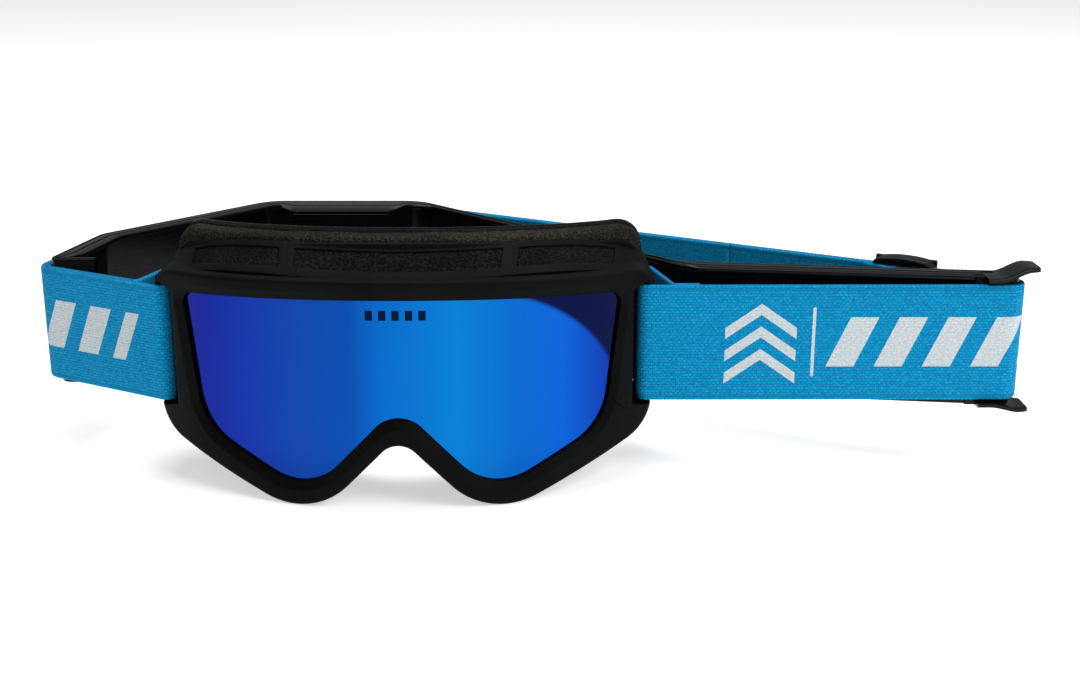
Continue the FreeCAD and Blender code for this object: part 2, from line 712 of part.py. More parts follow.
def strap_bends():
    """The whole webbing: sewn hem, right bar, right end, back, left end, left bar, return."""
    right_front = (BAR_MIDDLE, BAR_FRONT_CENTRE, WRAP, 1)
    right_back = (BAR_MIDDLE, BAR_BACK_CENTRE, WRAP, 1)
    left_front = (-BAR_MIDDLE, BAR_FRONT_CENTRE, WRAP, 1)
    left_back = (-BAR_MIDDLE, BAR_BACK_CENTRE, WRAP, 1)
    right_turn = return_turn(1, belt([right_front, nose_bend()])[0])
    outer = around_former(2, 1)
    left_turn = return_turn(-1, belt([outer[-1], left_front])[0])
    hem = (right_turn[0] + size("hem_length"), right_turn[1] - size("return_turn_radius"), 0.0, 1)
    cut_end = (size("slider_distance") + size("tab_length") + size("slider_travel")
               + size("slider_play"))
    return ([hem, right_turn, right_back, right_front, nose_bend()] + outer
            + [left_front, left_back, left_turn] + list(reversed(around_former(1, -1)))
            + [beside_back_run(cut_end, PITCH) + (0.0, 1)])


CORE_INWARDS = PITCH + size("slider_core_radius") + size("strap_gap") + HALF_STRAP
LOW_BEND = 3.0  # how gently the sewn end dips back on to the webbing


def tab_bends():
    """The strap's end, looped round the slider's middle bar and sewn back to itself."""
    start = size("slider_distance")
    wrap = size("slider_core_radius") + size("strap_gap") + HALF_STRAP
    flat = CORE_INWARDS + wrap
    sewn = 2 * PITCH
    rise = sewn + LOW_BEND - (flat - LOW_BEND)
    step = math.sqrt((2 * LOW_BEND) ** 2 - rise ** 2) + 0.3
    places = [(size("tab_length"), PITCH, 0.0, 1), (0.0, CORE_INWARDS, wrap, -1),
              (size("tab_length") / 3, flat - LOW_BEND, LOW_BEND, -1),
              (size("tab_length") / 3 + step, sewn + LOW_BEND, LOW_BEND, 1),
              (size("tab_length"), sewn, 0.0, 1)]
    return [beside_back_run(start + along, inwards) + (radius, turn)
            for along, inwards, radius, turn in places]


def build_strap():
    """Elastic webbing as upright ribbons, all at one height."""
    for name, label, bends in (("Strap", "strap", strap_bends()),
                               ("StrapEnd", "strap_adjuster_end", tab_bends())):
        band = ribbon(belt(bends), HALF_STRAP, HALF_STRAP)
        node(upright(name, band, STRAP_BOTTOM, STRAP_TOP), label)


# ---------------------------------------------------------------- slider and stitching

def build_slider():
    """Two end plates joined by two flat outer bars and a round middle bar."""
    half = " .slider_length / 2"
    outside = "( .strap_thickness / 2 + .slider_play)"
    deep = str(CORE_INWARDS) + " + .slider_core_radius"
    low = "(%s - .slider_play - .slider_end_height)" % STRAP_BOTTOM
    high = "(%s + .slider_play + .slider_end_height)" % STRAP_TOP
    side = ("-(%s + .slider_bar_thickness)" % outside, deep)
    bar = (side[0], "-%s" % outside)
    pieces = [
        block("slider_low_end", ("-" + half, half), side, (low, "%s + .slider_end_height" % low)),
        block("slider_high_end", ("-" + half, half), side, ("%s - .slider_end_height" % high, high)),
        block("slider_near_bar", ("-" + half, "-" + half + " + .slider_bar_width"), bar, (low, high)),
        block("slider_far_bar", (half + " - .slider_bar_width", half), bar, (low, high)),
    ]
    core = doc.addObject("Part::Cylinder", "slider_core")
    core.Placement = Placement(Vector(0, CORE_INWARDS, 0), Rotation())
    bind(core, Radius=" .slider_core_radius", Height=" %s - %s" % (high, low),
         Placement__Base__z=" " + low)
    x, y = beside_back_run(size("slider_distance"), 0.0)
    node(combined("MultiFuse", "Slider", core, *pieces), "slider", x, y, BACK_RUN_ANGLE)


def thread_rows(name):
    """Two raised rows of thread, standing on the plane Y = 0 about the middle of X."""
    tall = (STRAP_BOTTOM + " + .strap_width / 2 - .stitch_reach",
            STRAP_BOTTOM + " + .strap_width / 2 + .stitch_reach")
    high = ("0", " .stitch_height")
    rows = [block("%s_row_%d" % (name, index + 1), x, high, tall) for index, x in enumerate((
        ("- .stitch_length", "-0.2"), ("0.2", " .stitch_length")))]
    bridge = block(name + "_bridge", ("-0.3", "0.3"), ("0", " .stitch_height / 2"), tall)
    return combined("MultiFuse", name, bridge, *rows)


def build_stitching():
    """Thread on each sewn end of the strap: at the slider and behind the right hem."""
    x, y = beside_back_run(size("slider_distance") + size("tab_length") - 2, 2 * PITCH + HALF_STRAP)
    node(thread_rows("ThreadAtSlider"), "stitching_adjuster", x, y, BACK_RUN_ANGLE)
    x, y = strap_bends()[0][:2]
    node(thread_rows("ThreadAtHem"), "stitching_hem", x - 4, y + HALF_STRAP)


# ---------------------------------------------------------------- build, check and write

build_lenses()
build_frame()
build_vent_foams()
build_face_foam()
build_former()
build_strap()
build_slider()
build_stitching()
doc.recompute()

for thing in doc.Objects:
    if any(state in ("Invalid", "Error") for state in thing.State):
        raise RuntimeError("%s failed: %s" % (thing.Name, thing.State))
for thing in NODES:
    if thing.Shape.isNull() or not thing.Shape.isValid() or not thing.Shape.Solids:
        raise RuntimeError("%s has no valid solid" % thing.Label)

os.makedirs("parts", exist_ok=True)
for thing in NODES:
    thing.Shape.exportStep("parts/%s.step" % thing.Label)
    box = thing.Shape.BoundBox
    print("%-22s %d solids %9.0f mm3  x %.1f..%.1f y %.1f..%.1f z %.1f..%.1f" % (
        thing.Label, len(thing.Shape.Solids), thing.Shape.Volume,
        box.XMin, box.XMax, box.YMin, box.YMax, box.ZMin, box.ZMax))
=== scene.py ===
"""Sports protective goggles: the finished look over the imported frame.

Shapes are worked out in millimetres about the goggles' own middle plane, X across, Y back from
the lens and Z up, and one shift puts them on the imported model.
"""
import math

import bmesh
import bpy
import numpy as np
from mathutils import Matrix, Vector


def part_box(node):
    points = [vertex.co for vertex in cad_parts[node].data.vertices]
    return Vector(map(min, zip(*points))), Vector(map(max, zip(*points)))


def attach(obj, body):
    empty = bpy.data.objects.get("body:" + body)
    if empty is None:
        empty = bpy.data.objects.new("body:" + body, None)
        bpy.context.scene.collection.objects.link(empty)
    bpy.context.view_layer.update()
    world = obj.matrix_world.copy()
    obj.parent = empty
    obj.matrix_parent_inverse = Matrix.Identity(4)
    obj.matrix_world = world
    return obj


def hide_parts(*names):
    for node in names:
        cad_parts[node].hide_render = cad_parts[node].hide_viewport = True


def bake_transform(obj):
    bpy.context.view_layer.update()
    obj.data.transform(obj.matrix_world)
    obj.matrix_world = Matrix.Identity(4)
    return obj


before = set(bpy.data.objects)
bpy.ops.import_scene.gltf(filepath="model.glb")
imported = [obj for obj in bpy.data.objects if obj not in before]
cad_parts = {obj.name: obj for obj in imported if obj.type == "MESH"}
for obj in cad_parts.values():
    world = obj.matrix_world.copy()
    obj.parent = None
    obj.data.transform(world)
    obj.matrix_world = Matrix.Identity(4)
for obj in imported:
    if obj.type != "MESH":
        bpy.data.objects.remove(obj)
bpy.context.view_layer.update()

# ---------------------------------------------------------------- sizes, in millimetres

LENS_CURVE = 125.0          # radius of the bezel's front, about an upright axis
FACE_CURVE = 106.0          # radius of the flange and the foams
LIP = 3.2                   # bezel in front of the lens
OUTER_LENS = 1.2
BEZEL_BACK = 10.7
WALL = 2.2
FRAME_HALF, FRAME_TOP = 87.0, 80.0
NOSE_TOP, NOSE, LOBE_X, LOBE, CHEEK, CHEEK_Z, CORNER = 23.0, 7.5, 36.54, 26.0, 14.0, 28.7, 9.0
FLANGE_FRONT, FLANGE_BACK = 18.0, 20.5
FOAM_BACK, COMFORT_BACK, FLEECE_BACK = 31.0, 35.5, 36.5
SLOT_INNER, BAR_INNER, BAR_OUTER = 80.1, 84.1, 86.6
BAR_FRONT, BAR_BACK = 36.0, 61.5
SLOT_LOW, SLOT_HIGH = 26.7, 71.7
STRAP_LOW, STRAP_WIDTH, STRAP_THICK, PITCH = 28.2, 42.0, 1.8, 2.0
FORMER_WALL, RIM_LOW, RIM_HIGH = 1.8, 25.6, 72.8
FLARE_START, FLARE_LENGTH, FLARE_HALF, FLARE_SHIFT = 202.6, 18.0, 7.0, 1.4
FLARE_RISE, FLARE_DROP = 4.0, 2.0
SLIDER_ALONG, SLIDER_HALF, SLIDER_LOW, SLIDER_HIGH = 38.0, 11.5, 24.9, 73.5

lens_low, lens_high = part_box("outer_lens")
SHIFT = np.array([(lens_low.x + lens_high.x) * 500, lens_low.y * 1000 - LIP, 0.0])


# ---------------------------------------------------------------- paths and outlines

def tangents(pulleys):
    """The straight stretch between each two circles, as its ends and its heading. The heading
    is the centre line's, turned by the arc sine of the signed radii's difference over the
    distance."""
    stretches = []
    for (ax, ay, ar, at), (bx, by, br, bt) in zip(pulleys, pulleys[1:]):
        lean = (bt * br - at * ar) / math.hypot(bx - ax, by - ay)
        heading = math.atan2(by - ay, bx - ax) - math.asin(max(-1.0, min(1.0, lean)))
        side = np.array([-math.sin(heading), math.cos(heading)])
        stretches.append((np.array([ax, ay]) - side * at * ar,
                          np.array([bx, by]) - side * bt * br, heading))
    return stretches


def traced(pulleys, line_points, arc_points):
    """Points on a path that is tangent from circle to circle: straight on the lines, and on an
    arc the centre plus the radius times (sine, minus cosine) of the heading. Returns the
    points, their headings and the number of the piece each lies on."""
    stretches = tangents(pulleys)
    points, headings, pieces = [], [], []
    for index, (start, end, heading) in enumerate(stretches):
        share = np.linspace(0, 1, line_points(np.hypot(*(end - start))))[:, None]
        points.append(start + (end - start) * share)
        headings.append(np.full(len(share), heading))
        pieces.append(np.full(len(share), 2 * index))
        if index + 1 < len(stretches):
            x, y, radius, turn = pulleys[index + 1]
            sweep = (stretches[index + 1][2] - heading) * turn % (2 * math.pi)
            bend = heading + turn * np.linspace(0, sweep, arc_points(radius * sweep))
            points.append(np.array([x, y])
                          + turn * radius * np.column_stack([np.sin(bend), -np.cos(bend)]))
            headings.append(bend)
            pieces.append(np.full(len(bend), 2 * index + 1))
    return np.concatenate(points), np.concatenate(headings), np.concatenate(pieces)


def spaced(step):
    """How many points a stretch gets when they stand about step apart."""
    return lambda length: max(3, int(math.ceil(length / step)) + 1)


def outline(half_width, low_half_width, top, arch, corner, cheek, cheek_z, lobe_x, lobe_low,
            lobe, nose_top, nose):
    """The goggle shape as a ring of circles: nose, lobe, cheek, corner and top arch."""
    corner_x = half_width - corner
    corner_z = top - arch + math.sqrt((arch - corner) ** 2 - corner_x ** 2)
    right = [(lobe_x, lobe_low + lobe, lobe, 1), (low_half_width - cheek, cheek_z, cheek, 1),
             (corner_x, corner_z, corner, 1)]
    left = [(-x, z, radius, turn) for x, z, radius, turn in reversed(right)]
    middle = [(0.0, nose_top - nose, nose, -1)]
    return middle + right + [(0.0, top - arch, arch, 1)] + left + middle


def grown(circles, margin):
    """The outline moved outwards by a margin all round."""
    return [(x, z, radius + turn * margin, turn) for x, z, radius, turn in circles]


def ring(circles):
    """The closed outline as an array of (x, z), with the same number of points on each line and
    each arc, so that the rings of two outlines match point for point."""
    points, _, pieces = traced(circles + circles[1:2], lambda length: 44, lambda length: 97)
    return points[pieces > 0]


FRAME = outline(FRAME_HALF, FRAME_HALF, FRAME_TOP, 1000.0, CORNER, CHEEK, CHEEK_Z, LOBE_X, 0.0,
                LOBE, NOSE_TOP, NOSE)
OPENING = outline(75.2, 71.5, 73.0, 800.0, 4.0, 20.0, 36.4, LOBE_X - 1, 8.4, 19.5, 32.0, 11.0)
FLANGE = outline(84.0, 84.0, 88.6, 480.0, 11.0, CHEEK, CHEEK_Z, LOBE_X, 0.0, LOBE, NOSE_TOP, NOSE)
FACE_OPENING = outline(64.0, 64.0, 76.0, 800.0, 12.0, CHEEK, 36.4, LOBE_X, 17.0, CHEEK, 40.0,
                       CHEEK)
FOAM_SIDE, FOAM_SHOULDER = 79.5, 71.5       # half width beside the strap, and where it widens
FOAM = outline(85.0, FOAM_SIDE, 90.3, 800.0, 12.0, CHEEK, CHEEK_Z, LOBE_X, 3.0, 23.0, 26.0, NOSE)


def on_lens_curve(points, depth):
    """(x, z) points laid on the upright cylinder that is depth inside the bezel's front:
    y = R - square root of ((R - depth)^2 - x^2)."""
    x, z = points[..., 0], points[..., 1]
    return np.stack([x, LENS_CURVE - np.sqrt((LENS_CURVE - depth) ** 2 - x ** 2), z], axis=-1)


def on_face_curve(points, depth):
    """(x, z) points laid on the face's cylinder moved back by depth:
    y = depth + R - square root of (R^2 - x^2)."""
    x, z = points[..., 0], points[..., 1]
    return np.stack([x, depth + FACE_CURVE - np.sqrt(FACE_CURVE ** 2 - x ** 2), z], axis=-1)


def notched(points, limit, low=SLOT_LOW, high=SLOT_HIGH):
    """The (x, z) points with x held within the limit between two heights."""
    held = points.copy()
    inside = (points[..., 1] > low) & (points[..., 1] < high)
    held[..., 0] = np.where(inside, np.clip(points[..., 0], -limit, limit), points[..., 0])
    return held


# ---------------------------------------------------------------- meshes from grids of points

def surface(name, grid, around=False, along=False, keep=None, uv=None, seam=1e-6):
    """A mesh of the quads between neighbouring rows and columns of a grid of points in
    millimetres. around joins the last column to the first, along the last row to the first,
    keep is a mask of the quads wanted, and uv is a grid with one more row or column where
    the mesh is joined."""
    rows, columns = grid.shape[:2]
    index = np.arange(rows * columns).reshape(rows, columns)
    if along:
        index = np.vstack([index, index[:1]])
    if around:
        index = np.hstack([index, index[:, :1]])

    def corners(values):
        return np.stack([values[:-1, :-1], values[:-1, 1:], values[1:, 1:], values[1:, :-1]],
                        axis=2)
    quads = corners(index)
    quads = quads[keep] if keep is not None else quads.reshape(-1, 4)
    mesh = bpy.data.meshes.new(name)
    mesh.vertices.add(rows * columns)
    mesh.vertices.foreach_set("co", ((grid + SHIFT) / 1000).astype(np.float32).ravel())
    mesh.loops.add(quads.size)
    mesh.loops.foreach_set("vertex_index", quads.astype(np.int32).ravel())
    mesh.polygons.add(len(quads))
    mesh.polygons.foreach_set("loop_start", np.arange(0, quads.size, 4, dtype=np.int32))
    if uv is not None:
        mesh.uv_layers.new(name="webbing").data.foreach_set(
            "uv", corners(uv).reshape(-1, 2).astype(np.float32).ravel())
    mesh.update(calc_edges=True)
    cleaned = bmesh.new()
    cleaned.from_mesh(mesh)
    bmesh.ops.remove_doubles(cleaned, verts=cleaned.verts, dist=seam)
    bmesh.ops.dissolve_degenerate(cleaned, edges=cleaned.edges, dist=1e-7)
    loose = [vertex for vertex in cleaned.verts if not vertex.link_faces]
    bmesh.ops.delete(cleaned, geom=loose, context="VERTS")
    bmesh.ops.recalc_face_normals(cleaned, faces=cleaned.faces)
    cleaned.to_mesh(mesh)
    cleaned.free()
    mesh.shade_smooth()
    made = bpy.data.objects.new(name, mesh)
    bpy.context.scene.collection.objects.link(made)
    return made


def joined(name, parts):
    """Several pieces made one object."""
    with bpy.context.temp_override(active_object=parts[0], object=parts[0],
                                   selected_objects=parts, selected_editable_objects=parts):
        bpy.ops.object.join()
    parts[0].name = parts[0].data.name = name
    return parts[0]


def sharpened(made, angle=35.0):
    """Edges sharper than the angle are shaded as edges."""
    made.data.set_sharp_from_angle(angle=math.radians(angle))
    return made


def capped(rows):
    """The grid with a first and a last row drawn together at its middle, which closes both
    ends of a tube."""
    first = np.broadcast_to(rows[0].mean(axis=0), rows[0].shape)
    last = np.broadcast_to(rows[-1].mean(axis=0), rows[-1].shape)
    return np.concatenate([first[None], rows, last[None]])


def rounded_box(half_x, half_y, radius, points=5):
    """A closed outline of a box with rounded corners, anticlockwise: each corner's centre plus
    the radius times (cosine, sine)."""
    turn = np.linspace(0, math.pi / 2, points)
    sides = []
    for quarter, (sx, sy) in enumerate(((1, 1), (-1, 1), (-1, -1), (1, -1))):
        angle = turn + quarter * math.pi / 2
        sides.append(np.column_stack([sx * (half_x - radius) + radius * np.cos(angle),
                                      sy * (half_y - radius) + radius * np.sin(angle)]))
    return np.concatenate(sides)


def post(name, centre, outline_points, levels, insets, turned=0.0):
    """An upright rounded block: its plan outline at each level, drawn in by that level's inset
    as a share, and closed at both ends."""
    c, s = math.cos(turned), math.sin(turned)
    flat = outline_points @ np.array([[c, s], [-s, c]])
    shares = 1 - np.array(insets)[:, None, None]
    rows = np.concatenate([flat[None] * shares + np.array(centre),
                           np.broadcast_to(np.array(levels)[:, None, None],
                                           (len(levels), len(flat), 1))], axis=2)
    return surface(name, capped(rows), around=True)


def rippled(points, scale, height, seed):
    """A small smooth unevenness: the sum of eight sine waves in seeded directions."""
    chance = np.random.default_rng(seed)
    ways = chance.normal(size=(8, 3))
    ways /= np.linalg.norm(ways, axis=1)[:, None]
    phases = chance.uniform(0, 2 * math.pi, 8)
    lengths = scale * chance.uniform(0.6, 1.6, 8)
    waves = np.sin(points @ (ways / lengths[:, None]).T * 2 * math.pi + phases)
    return height * waves.mean(axis=-1) * 2


# ---------------------------------------------------------------- materials

def linear(text):
    """An sRGB hex colour as linear RGBA."""
    value = np.array([int(text[at:at + 2], 16) for at in (1, 3, 5)]) / 255
    value = np.where(value <= 0.04045, value / 12.92, ((value + 0.055) / 1.055) ** 2.4)
    return (*value.tolist(), 1.0)


def add(tree, kind, inputs=(), **settings):
    """Adds one node with its settings; an input is a value or another node's output."""
    made = tree.nodes.new("ShaderNode" + kind)
    for name, value in settings.items():
        setattr(made, name, value)
    for socket, value in dict(inputs).items():
        if isinstance(value, bpy.types.NodeSocket):
            tree.links.new(value, made.inputs[socket])
        else:
            made.inputs[socket].default_value = value
    return made


def begun(name, **constants):
    """A new material, its tree and its shader, with the constants on the shader's sockets."""
    material = bpy.data.materials.new(name)
    material.use_nodes = True
    tree = material.node_tree
    tree.nodes.clear()
    shader = add(tree, "BsdfPrincipled")
    for socket, value in constants.items():
        shader.inputs[socket.replace("_", " ")].default_value = value
    add(tree, "OutputMaterial", {"Surface": shader.outputs["BSDF"]})
    return material, tree, shader


def wired(tree, shader, **sources):
    """Links outputs to the shader's sockets of the same names."""
    for socket, output in sources.items():
        tree.links.new(output, shader.inputs[socket.replace("_", " ")])


def place_of(tree):
    """The point's place on the object, in metres."""
    return add(tree, "TexCoord").outputs["Object"]


def noise(tree, place, size, **inputs):
    """Noise whose features are about the size in millimetres."""
    return add(tree, "TexNoise", {"Vector": place, "Scale": 1000 / size, **inputs}).outputs["Fac"]


def calc(tree, operation, *values, **settings):
    """One step of arithmetic on numbers and outputs."""
    return add(tree, "Math", dict(enumerate(values)), operation=operation, **settings).outputs[0]


def scaled(tree, value, low, high, start=0.0, end=1.0, **settings):
    """A value that runs from start to end, brought to run from low to high."""
    inputs = {"Value": value, "From Min": start, "From Max": end, "To Min": low, "To Max": high}
    return add(tree, "MapRange", inputs, **settings).outputs["Result"]


def mixed(tree, factor, first, second, **settings):
    """Two colours mixed; each is a hex text or an output."""
    pair = [linear(colour) if isinstance(colour, str) else colour for colour in (first, second)]
    return add(tree, "Mix", {"Factor": factor, "A": pair[0], "B": pair[1]}, data_type="RGBA",
               **settings).outputs[2]


def toned(tree, value, stops):
    """A colour ramp from (position, hex) stops."""
    made = add(tree, "ValToRGB", {"Fac": value})
    elements = made.color_ramp.elements
    while len(elements) < len(stops):
        elements.new(0.5)
    for element, (position, text) in zip(elements, stops):
        element.position, element.color = position, linear(text)
    return made.outputs["Color"]


def bumped(tree, height, strength, distance):
    """The normal over a height, with the relief in millimetres."""
    return add(tree, "Bump", {"Height": height, "Strength": strength,
                              "Distance": distance / 1000}).outputs["Normal"]


def moulded_rubber():
    """Thermoplastic polyurethane from a spark-eroded mould: near black and matt, with a grain
    of about 0.35 mm, and faintly paler where handling has polished it."""
    material, tree, shader = begun("tpu_spark_eroded_black", IOR=1.5, Specular_IOR_Level=0.07)
    place = place_of(tree)
    grain = noise(tree, place, 0.7, Detail=3.0)
    handled = noise(tree, place, 28, Detail=4.0, Roughness=0.6)
    wired(tree, shader, Roughness=scaled(tree, handled, 0.72, 0.58),
          Base_Color=toned(tree, handled, ((0.35, "#040505"), (0.75, "#0a0b0c"))),
          Normal=bumped(tree, grain, 0.35, 0.12))
    return material


# Lens colours across X: partly the coating's hue and partly a painted reflection.
LENS_COAT_AND_REFLECTION_TONES = ((0.0, "#06127a"), (0.06, "#07187f"), (0.17, "#0e2d90"), (0.28, "#0c3a90"),
              (0.40, "#034094"), (0.46, "#0157a8"), (0.63, "#0169b0"), (0.75, "#0356a9"),
              (0.86, "#054fb0"), (0.93, "#07389a"), (1.0, "#061f80"))
# Centre and radius of the painted dark reflection on the lens.
DARK_REFLECTION_CENTRE, DARK_REFLECTION_RADIUS = (0.026, 0.0, 0.024), 0.0505      # metres, from the middle plane
PRINT_PITCH, PRINT_HALF_LENGTH, PRINT_HEIGHT, PRINT_HALF_HEIGHT = 0.0044, 0.0108, 0.0678, 0.0017


def mirror_coating():
    """Vacuum-coated polycarbonate: a blue interference mirror coloured from violet over azure to
    royal blue across the lens, partly the coating's hue and partly a painted reflection, navy past
    the brow corner as a painted dark reflection, with a hard clear coat and a row of small printed
    blocks under the brow."""
    material, tree, shader = begun("polycarbonate_blue_mirror", Metallic=1.0, Coat_Weight=0.05,
                                   Coat_Roughness=0.03)
    place = place_of(tree)
    centred = add(tree, "Mapping", {"Vector": place, "Location": (-SHIFT[0] / 1000, 0.0, 0.0)})
    axes = add(tree, "SeparateXYZ", {"Vector": centred.outputs["Vector"]})
    across, up = axes.outputs["X"], axes.outputs["Z"]
    # Painted reflection: the ramp across the lens gives the coating's hue together with reflected
    # light.
    coat_and_reflection_tones = toned(tree, scaled(tree, across, 0.0, 1.0, -0.078, 0.078), LENS_COAT_AND_REFLECTION_TONES)
    # Painted dark reflection: navy above and right of a circle about a point low on the right-hand
    # side.
    right = calc(tree, "MAXIMUM", across, DARK_REFLECTION_CENTRE[0])
    flat = add(tree, "CombineXYZ", {"X": right, "Z": up})
    away = add(tree, "VectorMath", {0: flat.outputs["Vector"], 1: DARK_REFLECTION_CENTRE},
               operation="DISTANCE")
    dark = scaled(tree, away.outputs["Value"], 0.0, 1.0, DARK_REFLECTION_RADIUS - 0.001,
                  DARK_REFLECTION_RADIUS + 0.001, interpolation_type="SMOOTHSTEP")
    with_dark_reflection = mixed(tree, dark, coat_and_reflection_tones, "#050d38")
    # Five printed blocks 2.5 mm wide and 3.4 mm high, one to each pitch.
    cell = calc(tree, "FRACT", calc(tree, "MULTIPLY_ADD", across, 1 / PRINT_PITCH, 0.5))
    block = calc(tree, "COMPARE", cell, 0.5, 0.28)
    strip = calc(tree, "COMPARE", across, 0.0, PRINT_HALF_LENGTH)
    line = calc(tree, "COMPARE", up, PRINT_HEIGHT, PRINT_HALF_HEIGHT)
    mark = calc(tree, "MULTIPLY", calc(tree, "MULTIPLY", block, strip), line)
    smears = noise(tree, place, 35, Detail=5.0)
    wired(tree, shader, Base_Color=mixed(tree, mark, with_dark_reflection, "#03102e"),
          Roughness=scaled(tree, smears, 0.05, 0.16))
    return material


def clear_sheet():
    """Cellulose propionate sheet behind the gasket: clear, faintly smoky and slightly hazed."""
    material, tree, shader = begun("propionate_clear_sheet", IOR=1.47, Transmission_Weight=0.9)
    haze = noise(tree, place_of(tree), 18, Detail=4.0)
    wired(tree, shader, Base_Color=mixed(tree, haze, "#aab2b6", "#c2c8ca"),
          Roughness=scaled(tree, haze, 0.03, 0.12))
    return material


def cut_foam(name, pore, dark, pale, relief):
    """Open-cell polyurethane foam, cut from the block: pores of the given size in millimetres,
    each pit painted darker as shade between paler cell walls, with broad patches where it has
    dulled."""
    material, tree, shader = begun(name, IOR=1.45, Roughness=0.92, Specular_IOR_Level=0.05)
    place = place_of(tree)
    shaken = add(tree, "TexNoise", {"Vector": place, "Scale": 1000 / (pore * 2.5), "Detail": 2.0})
    bent = add(tree, "VectorMath", {0: shaken.outputs["Color"], 1: (pore / 2500,) * 3},
               operation="MULTIPLY")
    bent = add(tree, "VectorMath", {0: bent.outputs["Vector"], 1: place}, operation="ADD")
    cells = add(tree, "TexVoronoi", {"Vector": bent.outputs["Vector"], "Scale": 1000 / pore})
    patches = noise(tree, place, 22, Detail=3.0)
    # Painted shade: each pore is darker towards its pit, by the same depth that drives the bump.
    depth = toned(tree, cells.outputs["Distance"], ((0.15, "#000000"), (0.75, "#ffffff")))
    tone = calc(tree, "MULTIPLY", calc(tree, "MULTIPLY", depth, patches), 1.7, use_clamp=True)
    wired(tree, shader, Base_Color=mixed(tree, tone, dark, pale),
          Normal=bumped(tree, depth, 0.9, relief))
    return material


def brushed_fleece():
    """Brushed polyester fleece glued to the foam: black, soft and faintly hairy, with pills of
    about 1.2 mm and a pale sheen at grazing angles."""
    material, tree, shader = begun("polyester_fleece_black", Roughness=0.95, Sheen_Weight=0.35,
                                   Sheen_Roughness=0.5, Specular_IOR_Level=0.1)
    place = place_of(tree)
    pills = noise(tree, place, 1.2, Detail=6.0, Roughness=0.7)
    nap = noise(tree, place, 14, Detail=3.0, Distortion=1.2)
    tone = calc(tree, "MULTIPLY", pills, nap)
    wired(tree, shader, Base_Color=toned(tree, tone, ((0.12, "#0a0a0b"), (0.5, "#1e1f21"))),
          Normal=bumped(tree, pills, 0.7, 0.4))
    return material


def woven_webbing():
    """Elastic jacquard webbing, woven from textured polyester over rubber: cyan ribs 1 mm apart
    with staggered picks of 1.5 mm, flecked with darker filaments, a groove 1.5 mm inside each
    selvedge coloured darker as painted shade, and plain white marks woven in: three nested peaks,
    a bar and leaning blocks."""
    material, tree, shader = begun("elastic_webbing_cyan", Roughness=0.85, Sheen_Weight=0.03,
                                   Sheen_Roughness=0.5, Specular_IOR_Level=0.1)
    cloth = add(tree, "UVMap", uv_map="webbing").outputs["UV"]
    axes = add(tree, "SeparateXYZ", {"Vector": cloth})
    along, across = axes.outputs["X"], axes.outputs["Y"]
    picks = add(tree, "TexBrick", {"Vector": cloth, "Scale": 1.0, "Color1": linear("#08b0ec"),
                                   "Color2": linear("#069cd6"), "Mortar": linear("#0486bc"),
                                   "Mortar Size": 0.22, "Mortar Smooth": 1.0, "Bias": -0.1,
                                   "Brick Width": 1.5, "Row Height": 1.0})
    flecks = add(tree, "TexNoise", {"Vector": cloth, "Scale": 1.1, "Detail": 3.0,
                                    "Roughness": 0.65}).outputs["Fac"]
    fleck = toned(tree, flecks, ((0.38, "#b4c0c4"), (0.66, "#ffffff")))
    dyed = mixed(tree, 0.75, picks.outputs["Color"], fleck, blend_type="MULTIPLY")
    # The marks: millimetres along from the right-hand fold, and up from the lower selvedge.
    aside = calc(tree, "ABSOLUTE", calc(tree, "SUBTRACT", along, PEAKS_ALONG))
    peak = calc(tree, "MULTIPLY_ADD", aside, PEAK_SLOPE, across)
    near = calc(tree, "LESS_THAN", aside, PEAK_REACH)
    white = [calc(tree, "MULTIPLY", calc(tree, "COMPARE", peak, level, PEAK_HALF_BAND), near)
             for level in PEAK_LEVELS]
    white.append(calc(tree, "MULTIPLY", calc(tree, "COMPARE", across, MARK_MIDDLE, BAR_MARK_HALF),
                      calc(tree, "COMPARE", along, BAR_MARK_ALONG, 0.55)))
    low = calc(tree, "COMPARE", across, MARK_MIDDLE, BLOCK_HALF_HEIGHT)
    lean = calc(tree, "MULTIPLY_ADD", across, -BLOCK_LEAN, along)
    cell = calc(tree, "SUBTRACT", lean, BLOCKS_ALONG)
    cell = calc(tree, "FRACT", calc(tree, "DIVIDE", cell, BLOCK_PITCH))
    filled = calc(tree, "MULTIPLY", calc(tree, "COMPARE", cell, 0.5, BLOCK_HALF_SHARE), low)
    white += [calc(tree, "MULTIPLY", calc(tree, "COMPARE", lean, middle, reach), filled)
              for middle, reach in BLOCK_ROWS]
    mask = white[0]
    for other in white[1:]:
        mask = calc(tree, "MAXIMUM", mask, other)
    pale = mixed(tree, 0.45, "#dfe7ea", fleck, blend_type="MULTIPLY")
    marked = mixed(tree, mask, dyed, pale)
    edge = calc(tree, "ABSOLUTE", calc(tree, "SUBTRACT", across, STRAP_WIDTH / 2))
    groove = calc(tree, "COMPARE", edge, STRAP_WIDTH / 2 - GROOVE_INSET, 0.22)
    height = calc(tree, "MAXIMUM", picks.outputs["Fac"], groove)
    height = calc(tree, "MULTIPLY_ADD", height, -1.0, flecks)
    # Painted shade: the groove inside each selvedge is coloured darker; its relief is the bump.
    wired(tree, shader, Base_Color=mixed(tree, groove, marked, "#0686b4"),
          Normal=bumped(tree, height, 0.8, 0.28))
    return material


